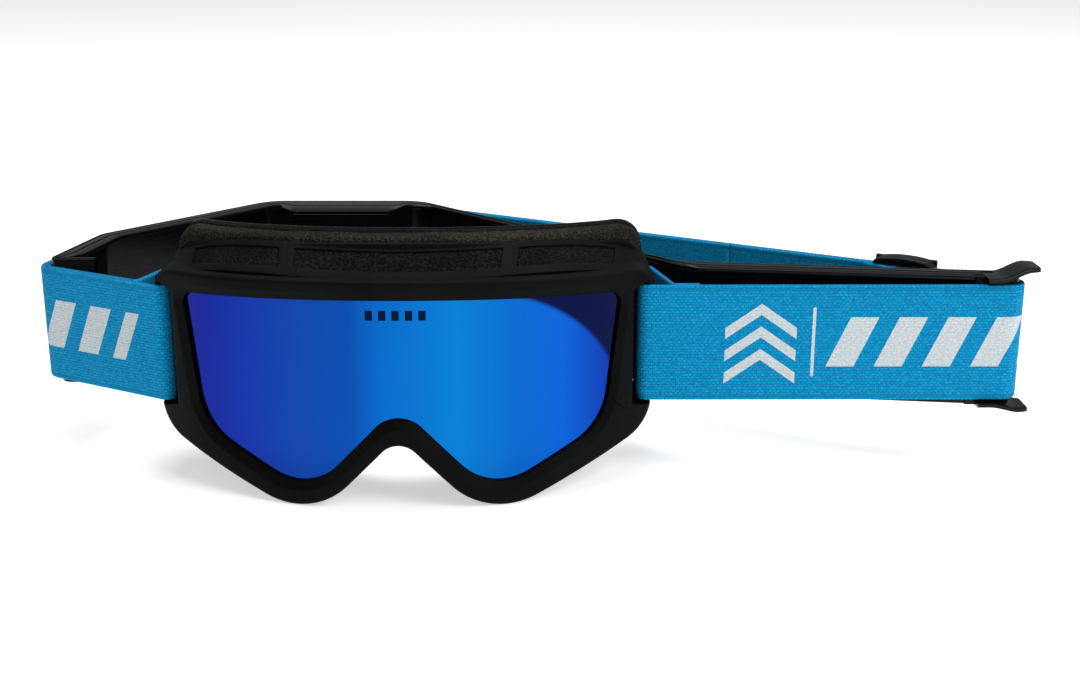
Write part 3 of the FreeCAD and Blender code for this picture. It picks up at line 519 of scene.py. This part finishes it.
def polished_plastic():
    """Polystyrene from a polished mould: glossy black, with faint flow marks and the hairline
    scratches that such a shop insert picks up."""
    material, tree, shader = begun("polystyrene_gloss_black", IOR=1.5, Specular_IOR_Level=0.16)
    place = place_of(tree)
    stretched = add(tree, "Mapping", {"Vector": place, "Scale": (1.0, 1.0, 9.0)})
    scratches = noise(tree, stretched.outputs["Vector"], 6, Detail=8.0, Roughness=0.75)
    flow = noise(tree, place, 45, Detail=2.0)
    wired(tree, shader, Base_Color=mixed(tree, flow, "#040505", "#090a0b"),
          Roughness=scaled(tree, scratches, 0.12, 0.3, 0.35, 0.75),
          Normal=bumped(tree, scratches, 0.12, 0.1))
    return material


def moulded_acetal():
    """Acetal, moulded in a fine-blasted tool: dense satin black, paler in random rubbed patches.
    """
    material, tree, shader = begun("acetal_satin_black", IOR=1.48, Specular_IOR_Level=0.2)
    place = place_of(tree)
    grain = noise(tree, place, 0.5, Detail=2.0)
    rubbed = noise(tree, place, 7, Detail=5.0)
    wired(tree, shader, Base_Color=mixed(tree, rubbed, "#060606", "#101112"),
          Roughness=scaled(tree, rubbed, 0.3, 0.5), Normal=bumped(tree, grain, 0.2, 0.1))
    return material


def sewing_thread():
    """Bonded polyester thread: dark blue, lightly glossy, with a twist of about 0.5 mm."""
    material, tree, shader = begun("polyester_thread_dark_blue", Roughness=0.6,
                                   Sheen_Weight=0.3)
    twist = add(tree, "TexWave", {"Vector": place_of(tree), "Scale": 1000 / 3.2,
                                  "Distortion": 1.5}, bands_direction="DIAGONAL").outputs["Fac"]
    wired(tree, shader, Base_Color=mixed(tree, twist, "#0a2238", "#184464"),
          Normal=bumped(tree, twist, 0.5, 0.1))
    return material


def painted_board():
    """Studio board with matt white emulsion: very slightly uneven."""
    material, tree, shader = begun("white_studio_board", Roughness=0.9,
                                   Emission_Color=(1.0, 1.0, 1.0, 1.0), Emission_Strength=0.55)
    patches = noise(tree, place_of(tree), 500, Detail=3.0)
    wired(tree, shader, Base_Color=mixed(tree, patches, "#f2f2f1", "#fafaf9"))
    return material


# ---------------------------------------------------------------- moulded frame

def bezel():
    """The front rim: one closed profile carried round the outline, laid on the lens curve. It
    runs forward over a rounded outer edge, across a flat face, down a chamfer, and back along
    the recess wall to the lens."""
    turn = np.linspace(0, math.pi / 2, 6)
    rows = []
    for margin, depth in [(0.0, BEZEL_BACK), (0.0, 5.0)] + list(zip(
            -1.5 * (1 - np.cos(turn)), 1.5 * (1 - np.sin(turn)))):
        held = notched(ring(grown(FRAME, margin)), SLOT_INNER + margin)
        rows.append(on_lens_curve(held, depth))
    for margin, depth in ((3.4, 0.0), (3.05, 0.06), (2.8, 0.22), (0.75, 1.7), (0.35, 1.95),
                          (0.08, 2.2), (0.0, 2.5), (0.0, LIP), (2.6, LIP + 0.05),
                          (2.6, BEZEL_BACK)):
        rows.append(on_lens_curve(ring(grown(OPENING, margin)), depth))
    return sharpened(surface("frame_bezel", np.array(rows), around=True, along=True))


WALL_DEPTH, WALL_MARGIN = 60.0, 0.4
WALL_FRONT, WALL_REAR = (76.6, 355.0), (110.9, 119.0)       # each end's top and arch radius


def wall_section(top, arch, low_margin, half_width, drop):
    """One end of the flaring walls, as an outline."""
    return ring(outline(half_width, half_width, top - drop, arch - drop, CORNER, CHEEK, CHEEK_Z,
                        LOBE_X, low_margin, LOBE - low_margin, NOSE_TOP + low_margin,
                        NOSE + low_margin))


def wall_points(levels, inset=0.0):
    """The walls' outer skin sunk by an inset, at levels that are (kind, depth) pairs on the lens
    or the face curve. A point is mixed between the front and the rear outline by its share
    of the walls' depth, and that share is found by going three times round."""
    front = wall_section(*WALL_FRONT, WALL_MARGIN + inset, BAR_OUTER - inset, inset)
    rear = wall_section(*WALL_REAR, WALL_MARGIN + inset, BAR_OUTER - inset, inset)
    rows = []
    for kind, depth in levels:
        flat = front
        for _ in range(3):
            laid = kind(flat, depth)
            share = laid[:, 1:2] / WALL_DEPTH
            flat = notched(front * (1 - share) + rear * share, SLOT_INNER - inset)
        rows.append(kind(flat, depth))
    return np.array(rows)


WINDOWS = ((-73.5, -39.8), (-35.2, 35.2), (39.8, 73.5))
LOW_WINDOWS = ((-50.04, -27.04), (27.04, 50.04))
VENT_FRONT, VENT_BACK = 8.2, 16.8


def in_windows(x, z):
    """Which of the skin's columns lie in a vent window."""
    roof = z > FRAME_TOP - 12
    under = z < LOBE / 2 - 3
    inside = np.zeros(len(x), bool)
    for windows, zone in ((WINDOWS, roof), (LOW_WINDOWS, under)):
        for low, high in windows:
            inside |= zone & (x > low) & (x < high)
    return inside


def walls():
    """The vented walls behind the bezel: the skin with its windows left out, made thick."""
    levels = [(on_lens_curve, depth) for depth in (4.6, 6.4, VENT_FRONT, 9.0, 11.0, 13.0, 15.0,
                                                   16.0, VENT_BACK)]
    levels += [(on_face_curve, 18.6), (on_face_curve, 19.4)]
    grid = wall_points(levels)
    middle = (grid[:-1, :, :] + np.roll(grid, -1, axis=1)[:-1]) / 2
    keep = np.ones(middle.shape[:2], bool)
    open_columns = in_windows(middle[4, :, 0], middle[4, :, 2])
    keep[2:8, open_columns] = False
    made = surface("frame_walls", grid, around=True, keep=keep)
    thick = made.modifiers.new("thickness", "SOLIDIFY")
    thick.thickness, thick.offset = WALL / 1000, -1.0
    soften(made, 0.35)
    return made


def soften(made, radius, angle=40.0):
    """A small live bevel on every edge that is sharper than the angle."""
    bevel = made.modifiers.new("edges", "BEVEL")
    bevel.width, bevel.segments, bevel.limit_method = radius / 1000, 2, "ANGLE"
    bevel.angle_limit, bevel.harden_normals = math.radians(angle), False


def flange():
    """The band that carries the face foam: a closed profile from the flange outline to the face
    opening, on the face's curve, with a rounded outer lip."""
    rows = []
    for margin, depth in ((-0.5, FLANGE_BACK), (0.0, FLANGE_BACK - 0.5),
                          (0.0, FLANGE_FRONT + 0.7), (-0.25, FLANGE_FRONT + 0.2),
                          (-0.8, FLANGE_FRONT)):
        held = notched(ring(grown(FLANGE, margin)), SLOT_INNER + margin)
        rows.append(on_face_curve(held, depth))
    for margin, depth in ((0.4, FLANGE_FRONT), (0.0, FLANGE_FRONT + 0.4),
                          (0.0, FLANGE_BACK)):
        rows.append(on_face_curve(ring(grown(FACE_OPENING, margin)), depth))
    return sharpened(surface("frame_flange", np.array(rows), around=True, along=True))


def strap_bars():
    """The upright bar on each side that the strap is looped on, with rounded edges."""
    shape = rounded_box((BAR_OUTER - BAR_INNER) / 2, (BAR_BACK - BAR_FRONT) / 2, 1.0)
    centre_x, centre_y = (BAR_OUTER + BAR_INNER) / 2, (BAR_FRONT + BAR_BACK) / 2
    return [post("frame_bar_" + side, (sign * centre_x, centre_y), shape,
                 [SLOT_LOW - 1, SLOT_HIGH + 1], [0, 0]) for side, sign in
            (("left", -1), ("right", 1))]


# ---------------------------------------------------------------- lens, vents and foams

def lens():
    """The mirrored lens: rings drawn in towards a middle point and laid on the lens curve, on
    its front, round its edge and on its back."""
    edge = ring(grown(OPENING, 2.8))
    middle = np.array([0.0, 46.0])
    shares = np.concatenate([[0.0], np.linspace(0.02, 1, 40)])
    front = [on_lens_curve(middle + (edge - middle) * share, LIP) for share in shares]
    back = [on_lens_curve(middle + (edge - middle) * share, LIP + OUTER_LENS)
            for share in shares[::-1]]
    return sharpened(surface("lens_outer", np.array(front + back), around=True))


def vent_pad(name, low, high, roof):
    """A pad of foam in one window: the walls' skin sunk below the surface and crowned a little,
    with its edges turned down, closed underneath."""
    depths = np.linspace(VENT_FRONT - 1.0, VENT_BACK + 0.9, 12)
    skin = wall_points([(on_lens_curve, depth) for depth in depths], 0.5)
    under = wall_points([(on_lens_curve, depth) for depth in depths], 2.3)
    x, z = skin[6, :, 0], skin[6, :, 2]
    zone = (z > FRAME_TOP - 12) if roof else (z < LOBE / 2 - 3)
    columns = np.flatnonzero(zone & (x > low - 1.2) & (x < high + 1.2))
    top, bottom = skin[:, columns], under[:, columns]
    crown = np.sin(np.linspace(0, math.pi, len(depths)))[:, None] ** 0.5
    sink = rippled(top, 5.0, 0.16, 3) + 0.28 * (1 - crown)
    out = top - bottom
    out /= np.linalg.norm(out, axis=2, keepdims=True)
    top = top - out * sink[:, :, None]
    grid = np.concatenate([top, bottom[::-1]])
    side = np.broadcast_to(grid.mean(axis=0, keepdims=True), grid.shape)
    grid = np.concatenate([side[:, :1], grid, side[:, -1:]], axis=1)
    return surface(name, grid, along=True)


def foam_ring(name, front, back, outer_round, seed, lumps):
    """One layer of the face foam: a rounded cross-section between the foam outline and the face
    opening. The section goes round by an angle: its share across is a flattened cosine and its
    depth a flattened sine, and the ring is held in at the strap's notches."""
    outer, inner = ring(FOAM), ring(FACE_OPENING)
    height = outer[:, 1:2]
    rise = np.clip((height - FOAM_SHOULDER) / 3.5, 0, 1)
    limit = FOAM_SIDE + 6.0 * rise ** 2 * (3 - 2 * rise)
    outer = np.column_stack([np.clip(outer[:, :1], -limit, limit), height])
    angle = np.linspace(0, 2 * math.pi, 40, endpoint=False)
    flat_cosine = np.sign(np.cos(angle)) * np.abs(np.cos(angle)) ** outer_round
    flat_sine = np.sign(np.sin(angle)) * np.abs(np.sin(angle)) ** outer_round
    middle, half = (front + back) / 2, (back - front) / 2
    rows = []
    for across, deep in zip((1 - flat_cosine) / 2, middle + half * flat_sine):
        rows.append(on_face_curve(outer * (1 - across) + inner * across, deep))
    grid = np.array(rows)
    centre = grid.mean(axis=0, keepdims=True)
    out = grid - centre
    out /= np.linalg.norm(out, axis=2, keepdims=True)
    grid = grid + out * (rippled(grid, 16.0, lumps, seed) - lumps)[:, :, None]
    return surface(name, grid, around=True, along=True)


# ---------------------------------------------------------------- former

FORMER_NOSE_Y = BAR_FRONT + 4.5
FORMER_CORNERS = [(-115.0, 61.5, 0.0, 1), (-127.0, 66.0, 4.5, -1), (-115.0, 100.0, 10.0, -1),
                  (-62.0, 154.5, 16.0, -1), (-12.0, 152.5, 18.0, -1), (100.5, 64.0, 5.0, 1),
                  (211.0, FORMER_NOSE_Y, 4.5, -1), (199.0, BAR_FRONT, 0.0, 1)]
DOME, PLATFORM, ARM = (2, 3, 4, 5, 6, 7), (6,), (10,)       # pieces of the path with wider rims
RIM_WIDTH, RIM_EASE = 4.0, 9.0


def eased(values, lengths, reach):
    """Values along a path smoothed over a reach: a running mean by length."""
    even = np.linspace(0, lengths[-1], 2400)
    held = np.interp(even, lengths, values)
    window = max(1, int(reach / lengths[-1] * 2400))
    padded = np.pad(held, window, mode="edge")
    mean = np.convolve(padded, np.ones(window) / window, mode="same")[window:-window]
    return np.interp(lengths, even, mean)


def travelled(points):
    """The running length along a path."""
    return np.concatenate([[0.0], np.cumsum(np.hypot(*np.diff(points, axis=0).T))])


def swept(points, headings, inwards, heights):
    """A profile carried along a plan path: each point is moved to the right of the heading by
    the profile's inward distance and raised to its height."""
    side = np.column_stack([np.sin(headings), -np.cos(headings)])
    flat = points[:, None, :] + side[:, None, :] * inwards[:, :, None]
    return np.concatenate([flat, heights[:, :, None]], axis=2)


def former():
    """The former's channel: a wall with a rim at its top and its bottom, whose width changes
    along the path. The top rim carries two long grooves beside its outer edge."""
    points, headings, pieces = traced(FORMER_CORNERS, spaced(2.0), spaced(0.5))
    fresh = np.concatenate([[True], np.hypot(*np.diff(points, axis=0).T) > 1e-4])
    points, headings, pieces = points[fresh], headings[fresh], pieces[fresh]
    lengths = travelled(points)
    low_width = RIM_WIDTH + 5.0 * np.isin(pieces, DOME + ARM)
    width = eased(low_width + 13.0 * np.isin(pieces, PLATFORM), lengths, RIM_EASE)
    low_width = eased(low_width, lengths, RIM_EASE)
    r = 0.5
    inner_z = RIM_HIGH - FORMER_WALL
    # (inwards, share of the rim's width added to it, height)
    profile = [(0.0, 0, RIM_LOW + r), (0.0, 0, 40.0), (0.0, 0, 58.0), (0.0, 0, RIM_HIGH - r),
               (0.15, 0, RIM_HIGH - 0.15), (r, 0, RIM_HIGH), (1.1, 0, RIM_HIGH),
               (1.25, 0, RIM_HIGH - 0.6), (1.75, 0, RIM_HIGH - 0.6), (1.9, 0, RIM_HIGH),
               (0, 0.48, RIM_HIGH), (0.15, 0.48, RIM_HIGH - 0.55),
               (0.7, 0.48, RIM_HIGH - 0.55), (0.85, 0.48, RIM_HIGH - 0.1),
               (-r, 1, RIM_HIGH - 0.1), (-0.1, 1, RIM_HIGH - 0.3), (0, 1, RIM_HIGH - 0.7),
               (0, 1, inner_z + 0.3), (-0.3, 1, inner_z), (FORMER_WALL + 0.3, 0, inner_z),
               (FORMER_WALL, 0, inner_z - 0.4), (FORMER_WALL, 0, 58.0),
               (FORMER_WALL, 0, 40.0), (FORMER_WALL, 0, RIM_LOW + FORMER_WALL + 0.4),
               (FORMER_WALL + 0.3, 0, RIM_LOW + FORMER_WALL),
               (-0.3, -1, RIM_LOW + FORMER_WALL), (0, -1, RIM_LOW + FORMER_WALL - 0.3),
               (0, -1, RIM_LOW + 0.3), (-0.3, -1, RIM_LOW), (r, 0, RIM_LOW),
               (0.15, 0, RIM_LOW + 0.15)]
    base, share, heights = (np.array(column) for column in zip(*profile))
    inwards = base + np.where(share >= 0, share * width[:, None], -share * low_width[:, None])
    rows = swept(points, headings, inwards, np.broadcast_to(heights, inwards.shape))
    channel = sharpened(surface("former_channel", capped(rows), around=True), 28)
    foot_on = np.isin(pieces, (6, 7))
    shape = rounded_box(FORMER_WALL / 2, (RIM_LOW + 1.5) / 2, 0.6)
    inwards = np.broadcast_to(shape[:, 0] + FORMER_WALL / 2, (foot_on.sum(), len(shape)))
    heights = np.broadcast_to(shape[:, 1] + (RIM_LOW + 1.5) / 2, inwards.shape)
    foot = sharpened(surface("former_foot", capped(swept(points[foot_on], headings[foot_on],
                                                         inwards, heights)), around=True))
    return joined("former", [channel, foot] + flares())


def flares():
    """The turned-out lips at the former's right end: a plate that rises by a smooth step near
    its end and narrows with a rounded corner, given its thickness along its sections."""
    made = []
    for label, level, rise in (("top", RIM_HIGH - FORMER_WALL / 2, FLARE_RISE),
                               ("low", RIM_LOW + FORMER_WALL / 2, -FLARE_DROP)):
        along = np.linspace(0, 1, 40)
        x = FLARE_START + FLARE_LENGTH * along
        step = np.clip((along - 0.25) / 0.6, 0, 1)
        z = level + (rise * (1 - 0.08)) * step ** 2 * (3 - 2 * step)
        half = FLARE_HALF * np.sqrt(1 - np.clip((along - 0.55) / 0.62, 0, 1) ** 3)
        shape = rounded_box(1.0, 1.0, 0.35, 4)
        y = FORMER_NOSE_Y - FLARE_SHIFT + half[:, None] * shape[:, 0]
        rows = np.stack([np.broadcast_to(x[:, None], y.shape), y,
                         z[:, None] + FORMER_WALL / 2 * shape[:, 1]], axis=2)
        made.append(sharpened(surface("former_flare_" + label, capped(rows), around=True)))
    return made


# ---------------------------------------------------------------- strap

HALF = STRAP_THICK / 2
GAP = 0.2                   # between the strap and what it lies on
BAR_MIDDLE, BAR_HALF = (BAR_INNER + BAR_OUTER) / 2, 1.25
WRAP = (BAR_OUTER - BAR_INNER) / 2 * math.sqrt(2) + GAP / 2 + HALF
TURN = 1.5                  # radius of the tight turn beside the bar
TURN_REACH = 6.0            # how far outside the bar it lies


def around_former(layer, turn):
    """The strap's bends at the former's back corners and left end, from right to left."""
    clear = GAP + HALF + (layer - 1) * PITCH
    return [(x, y, radius + clear, turn) for x, y, radius, _ in reversed(FORMER_CORNERS[1:5])]


NOSE_BEND = (211.0, FORMER_NOSE_Y, 4.5 + GAP + HALF, 1)
RUN_START, _, RUN_HEADING = tangents([NOSE_BEND, around_former(2, 1)[0]])[0]
RUN_WAY = np.array([math.cos(RUN_HEADING), math.sin(RUN_HEADING)])
RUN_IN = np.array([-RUN_WAY[1], RUN_WAY[0]])


def beside_run(along, inwards):
    """The point so far along the back run and so far inside its middle line."""
    return tuple(RUN_START + RUN_WAY * along + RUN_IN * inwards)


def return_turn(side, stretch):
    """The tight turn where the strap comes off the bar and lies back along its own run."""
    (ax, ay), (bx, by) = stretch[:2]
    x = side * (BAR_OUTER + GAP + HALF + TURN + TURN_REACH)
    slope = (by - ay) / (bx - ax)
    return (x, ay + slope * (x - ax) + (PITCH + TURN) * math.hypot(1, slope), TURN, -1)


def bar_bends(side):
    """The strap's bends round one bar, its front edge first."""
    return [(side * BAR_MIDDLE, BAR_FRONT + BAR_HALF, WRAP, 1),
            (side * BAR_MIDDLE, BAR_BACK - BAR_HALF, WRAP, 1)]


RIGHT_FRONT, RIGHT_BACK = bar_bends(1)
LEFT_FRONT, LEFT_BACK = bar_bends(-1)
RIGHT_TURN = return_turn(1, tangents([RIGHT_FRONT, NOSE_BEND])[0])
LEFT_TURN = return_turn(-1, tangents([around_former(2, 1)[-1], LEFT_FRONT])[0])
HEM_LENGTH = 8.0
HEM = (RIGHT_TURN[0] + HEM_LENGTH, RIGHT_TURN[1] - TURN, 0.0, 1)
HANDOVER = 106.0            # along the back run, where the adjustable end takes over
STRAP_BENDS = ([HEM, RIGHT_TURN, RIGHT_BACK, RIGHT_FRONT, NOSE_BEND] + around_former(2, 1)
               + [LEFT_FRONT, LEFT_BACK, LEFT_TURN] + around_former(1, -1)[::-1]
               + [beside_run(HANDOVER, PITCH) + (0.0, 1)])
CORE = 0.8                  # radius of the slider's middle bar
CORE_IN = PITCH + CORE + GAP + HALF
CORE_WRAP = CORE + GAP + HALF
TAB = 14.0                  # length of webbing sewn back on itself


def end_bends():
    """The adjustable end: along the inner layer, round the slider's core and back on itself."""
    dip = 3.0
    flat, sewn = CORE_IN + CORE_WRAP, 2 * PITCH
    step = math.sqrt((2 * dip) ** 2 - (sewn + dip - (flat - dip)) ** 2) + 0.3
    places = [(HANDOVER - SLIDER_ALONG + GAP, PITCH, 0.0, 1), (TAB, PITCH, 0.0, 1),
              (0.0, CORE_IN, CORE_WRAP, -1), (TAB / 3, flat - dip, dip, -1),
              (TAB / 3 + step, sewn + dip, dip, 1), (TAB, sewn, 0.0, 1)]
    return [beside_run(SLIDER_ALONG + along, inwards) + (radius, turn)
            for along, inwards, radius, turn in places]


def ribbon_points(bends):
    """The path of a strap, its headings, its running length and its pieces, with the points
    that coincide left out."""
    points, headings, pieces = traced(bends, spaced(2.5), spaced(0.45))
    fresh = np.concatenate([[True], np.hypot(*np.diff(points, axis=0).T) > 1e-4])
    return points[fresh], headings[fresh], travelled(points[fresh]), pieces[fresh]


def webbing(name, bends, origin=0.0):
    """A strap as upright webbing: a flat section with soft selvedges, carried along its path.
    Its UV map is millimetres along the strap and up across it."""
    points, headings, lengths, _ = ribbon_points(bends)
    up = np.array([0.0, 0.15, 0.45, 0.95, 1.5, 2.05, 8.0, 14.0, 21.0, 28.0, 34.0, 39.95, 40.5,
                   41.05, 41.55, 41.85, 42.0])
    thick = HALF * np.array([0.35, 0.62, 0.85, 0.98, 0.92, 1, 1, 1, 1, 1, 1, 1, 0.92, 0.98,
                             0.85, 0.62, 0.35])
    inwards = np.concatenate([-thick, thick[::-1]])
    heights = np.concatenate([up, up[::-1]])
    shape = (len(points), len(heights))
    rows = swept(points, headings, np.broadcast_to(inwards, shape),
                 np.broadcast_to(heights + STRAP_LOW, shape))
    grid = capped(rows)
    along = np.concatenate([lengths[:1], lengths, lengths[-1:]]) - origin
    across = np.append(heights, heights[0])
    uv = np.stack(np.meshgrid(along, across, indexing="ij"), axis=2)
    return surface(name, grid, around=True, uv=uv)


_, _, strap_lengths, strap_pieces = ribbon_points(STRAP_BENDS)
RIGHT_FOLD = strap_lengths[strap_pieces == 6][0]
LEFT_FOLD = strap_lengths[strap_pieces == 16][-1]
PEAKS_ALONG = 37.0          # from the right-hand fold to the middle of the woven peaks
PEAK_SLOPE, PEAK_REACH, PEAK_HALF_BAND, PEAK_LEVELS = 0.7, 12.5, 2.0, (33.4, 25.2, 17.0)
MARK_MIDDLE = 21.5          # height of the bar's and the blocks' middle on the webbing
BAR_MARK_ALONG, BAR_MARK_HALF = PEAKS_ALONG + 18.5, 12.5
BLOCKS_ALONG, BLOCK_HALF_HEIGHT, BLOCK_LEAN, BLOCK_HALF_SHARE = PEAKS_ALONG + 14.0, 9.0, 0.45, 0.29
GROOVE_INSET = 1.5
BLOCK_PITCH = 17.0
BLOCK_ROWS = ((BLOCKS_ALONG + 2.5 * BLOCK_PITCH, 2.5 * BLOCK_PITCH),
              (LEFT_FOLD - RIGHT_FOLD - 55.0, 34.0))


# ---------------------------------------------------------------- slider and thread

def slider():
    """Three-bar slider: two flat outer bars, a round core and two arched end plates. An end
    plate is a rounded section carried along the slider, whose height is a flattened cosine."""
    bar_half, depth = 2.0, 0.9
    outer_in = -(HALF + 0.3 + depth)
    parts = []
    tall = [SLIDER_LOW + 1.0, SLIDER_LOW + 1.6, SLIDER_HIGH - 1.6, SLIDER_HIGH - 1.0]
    for along in (-SLIDER_HALF + bar_half, SLIDER_HALF - bar_half):
        parts.append(post("slider_bar", beside_run(SLIDER_ALONG + along, outer_in),
                          rounded_box(bar_half, depth, 0.7), tall, [0.1, 0, 0, 0.1],
                          RUN_HEADING))
    angle = np.linspace(0, 2 * math.pi, 24, endpoint=False)
    parts.append(post("slider_core", beside_run(SLIDER_ALONG, CORE_IN),
                      CORE * np.column_stack([np.cos(angle), np.sin(angle)]), tall,
                      [0.1, 0, 0, 0.1], RUN_HEADING))
    low_in, high_in = outer_in - depth, CORE_IN + CORE
    for sign, outside in ((1, SLIDER_HIGH), (-1, SLIDER_LOW)):
        along = np.linspace(-1, 1, 36)
        arch = 1 - 1.3 * (1 - np.sqrt(1 - 0.86 * along ** 2)) - 0.7 * np.abs(along) ** 10
        end = np.sqrt(np.clip(1 - np.abs(along) ** 14, 0.02, 1))
        shape = rounded_box(1.0, 1.0, 0.42, 5)
        half_in = (high_in - low_in) / 2 * end
        inwards = (high_in + low_in) / 2 + half_in[:, None] * shape[:, 0]
        thickness = 1.5 * np.clip(0.45 + 0.55 * arch, 0.3, 1)
        top = outside - sign * 2.2 * (1 - arch)
        z = top[:, None] - sign * thickness[:, None] * (1 - shape[:, 1])
        centre = np.array([beside_run(SLIDER_ALONG, 0.0)])
        flat = (centre[:, None] + (along * SLIDER_HALF)[:, None, None] * RUN_WAY
                + inwards[:, :, None] * RUN_IN)
        parts.append(surface("slider_end", capped(np.concatenate([flat, z[:, :, None]], axis=2)),
                             around=True))
    return joined("slider_body", parts)


def bar_tack(name, centre, way, inward, thread=0.28):
    """A dense zigzag of thread that stands on the webbing: a tube round a triangle wave."""
    count = 66
    height = np.linspace(-16, 16, count)
    swing = np.where(np.arange(count) % 2, 1.0, -1.0) * 0.95
    path = np.column_stack([centre[0] + way[0] * swing, centre[1] + way[1] * swing,
                            STRAP_LOW + STRAP_WIDTH / 2 + height])
    ahead = np.gradient(path, axis=0)
    ahead /= np.linalg.norm(ahead, axis=1)[:, None]
    out = np.array([inward[0], inward[1], 0.0])
    side = np.cross(ahead, out)
    side /= np.linalg.norm(side, axis=1)[:, None]
    angle = np.linspace(0, 2 * math.pi, 7, endpoint=False)
    rows = (path[:, None] + thread * (np.cos(angle)[:, None] * side[:, None]
                                      + np.sin(angle)[:, None] * out))
    return surface(name, capped(rows), around=True)


# ---------------------------------------------------------------- the object put together

RUBBER, MIRROR, CLEAR = moulded_rubber(), mirror_coating(), clear_sheet()
GASKET = cut_foam("gasket_foam_black", 0.4, "#060606", "#171819", 0.1)
VENT_FOAM = cut_foam("vent_foam_black_open_cell", 0.9, "#030303", "#1e1f1e", 0.45)
FACE_FOAM = cut_foam("face_foam_brown_grey", 0.75, "#0a0a09", "#3c3a33", 0.35)
COMFORT_FOAM = cut_foam("comfort_foam_charcoal", 0.55, "#090909", "#282724", 0.25)
FLEECE, WEBBING, GLOSS = brushed_fleece(), woven_webbing(), polished_plastic()
ACETAL, THREAD, BOARD = moulded_acetal(), sewing_thread(), painted_board()


def finished(made, material, body="goggles", replaces=()):
    """Gives a piece its material, its body and the node it stands for."""
    made.data.materials.clear()
    made.data.materials.append(material)
    if body:
        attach(made, body)
    if replaces:
        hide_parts(*replaces)
    return made


for piece in [bezel(), walls(), flange()] + strap_bars():
    finished(piece, RUBBER, replaces=["frame"])
finished(lens(), MIRROR, replaces=["outer_lens"])
for node, material in (("inner_lens", CLEAR), ("lens_gasket", GASKET)):
    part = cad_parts[node]
    part.data.materials.clear()
    part.data.materials.append(material)

for label, (low, high), roof in (("top_left", WINDOWS[0], True), ("top_centre", WINDOWS[1], True),
                                 ("top_right", WINDOWS[2], True),
                                 ("low_left", LOW_WINDOWS[0], False),
                                 ("low_right", LOW_WINDOWS[1], False)):
    pad = finished(vent_pad("vent_pad_" + label, low, high, roof), VENT_FOAM,
                   replaces=["vent_foam_" + label])

for name, node, material, slot, front, back, roundness, lumps, fill in (
        ("foam_base", "face_foam_base", FACE_FOAM, "face_foam", FLANGE_BACK, FOAM_BACK, 0.45,
         0.22, 0.9),
        ("foam_comfort", "face_foam_comfort", COMFORT_FOAM, "face_foam", FOAM_BACK,
         COMFORT_BACK, 0.55, 0.18, 0.8),
        ("fleece_cover", "face_fleece", FLEECE, "fleece", COMFORT_BACK, FLEECE_BACK, 0.5, 0.06,
         0.7)):
    layer = finished(foam_ring(name, front, back, roundness, 7, lumps), material,
                     replaces=[node])

finished(former(), GLOSS, replaces=["strap_former"])
finished(webbing("strap_webbing", STRAP_BENDS, RIGHT_FOLD), WEBBING,
         replaces=["strap"])
end = finished(webbing("strap_end", end_bends(), -700.0), WEBBING, body=None,
               replaces=["strap_adjuster_end"])


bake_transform(end)
finished(slider(), ACETAL, "adjuster", replaces=["slider"])
finished(bar_tack("tack_adjuster", beside_run(SLIDER_ALONG + 12.0, 2 * PITCH + HALF + 0.1),
                  RUN_WAY, RUN_IN), THREAD, "adjuster",
         replaces=["stitching_adjuster"])
finished(bar_tack("tack_hem", (HEM[0] - 4.0, HEM[1] + HALF + 0.1), (1.0, 0.0), (0.0, 1.0)),
         THREAD, replaces=["stitching_hem"])

# ---------------------------------------------------------------- floor, light and camera

def floor():
    """The board the goggles stand on, 12 m square."""
    mesh = bpy.data.meshes.new("floor")
    mesh.from_pydata([(-6, -6, 0), (6, -6, 0), (6, 6, 0), (-6, 6, 0)], [], [(0, 1, 2, 3)])
    made = bpy.data.objects.new("floor", mesh)
    bpy.context.scene.collection.objects.link(made)
    made.data.materials.append(BOARD)


def soft_light(name, place, aim, width, height, power):
    """A rectangular softbox turned to face a point."""
    lamp = bpy.data.lights.new(name, "AREA")
    lamp.shape, lamp.size, lamp.size_y, lamp.energy = "RECTANGLE", width, height, power
    made = bpy.data.objects.new(name, lamp)
    made.location = place
    made.rotation_euler = (Vector(aim) - Vector(place)).to_track_quat("-Z", "Y").to_euler()
    bpy.context.scene.collection.objects.link(made)


floor()
soft_light("key", (1.15, -0.8, 1.25), (0.0, 0.0, 0.05), 0.9, 0.9, 17.0)
soft_light("fill", (-1.2, -0.8, 0.9), (0.0, 0.0, 0.05), 0.9, 0.9, 0.3)
soft_light("top", (0.1, 0.35, 1.5), (0.05, 0.0, 0.05), 1.4, 0.8, 16.0)
world = bpy.data.worlds.new("studio")
bpy.context.scene.world = world
world.use_nodes = True
world.node_tree.nodes["Background"].inputs["Color"].default_value = linear("#f4f6f8")
world.node_tree.nodes["Background"].inputs["Strength"].default_value = 0.28

camera = bpy.data.objects.new("camera", bpy.data.cameras.new("camera"))
camera.data.lens, camera.data.sensor_width = 50.0, 36.0
camera.location = (0.00495, -0.55725, 0.2008)
camera.rotation_euler = (math.radians(73.0), 0.0, 0.0)
bpy.context.scene.collection.objects.link(camera)
bpy.context.scene.camera = camera
bpy.context.scene.view_settings.view_transform = "Standard"
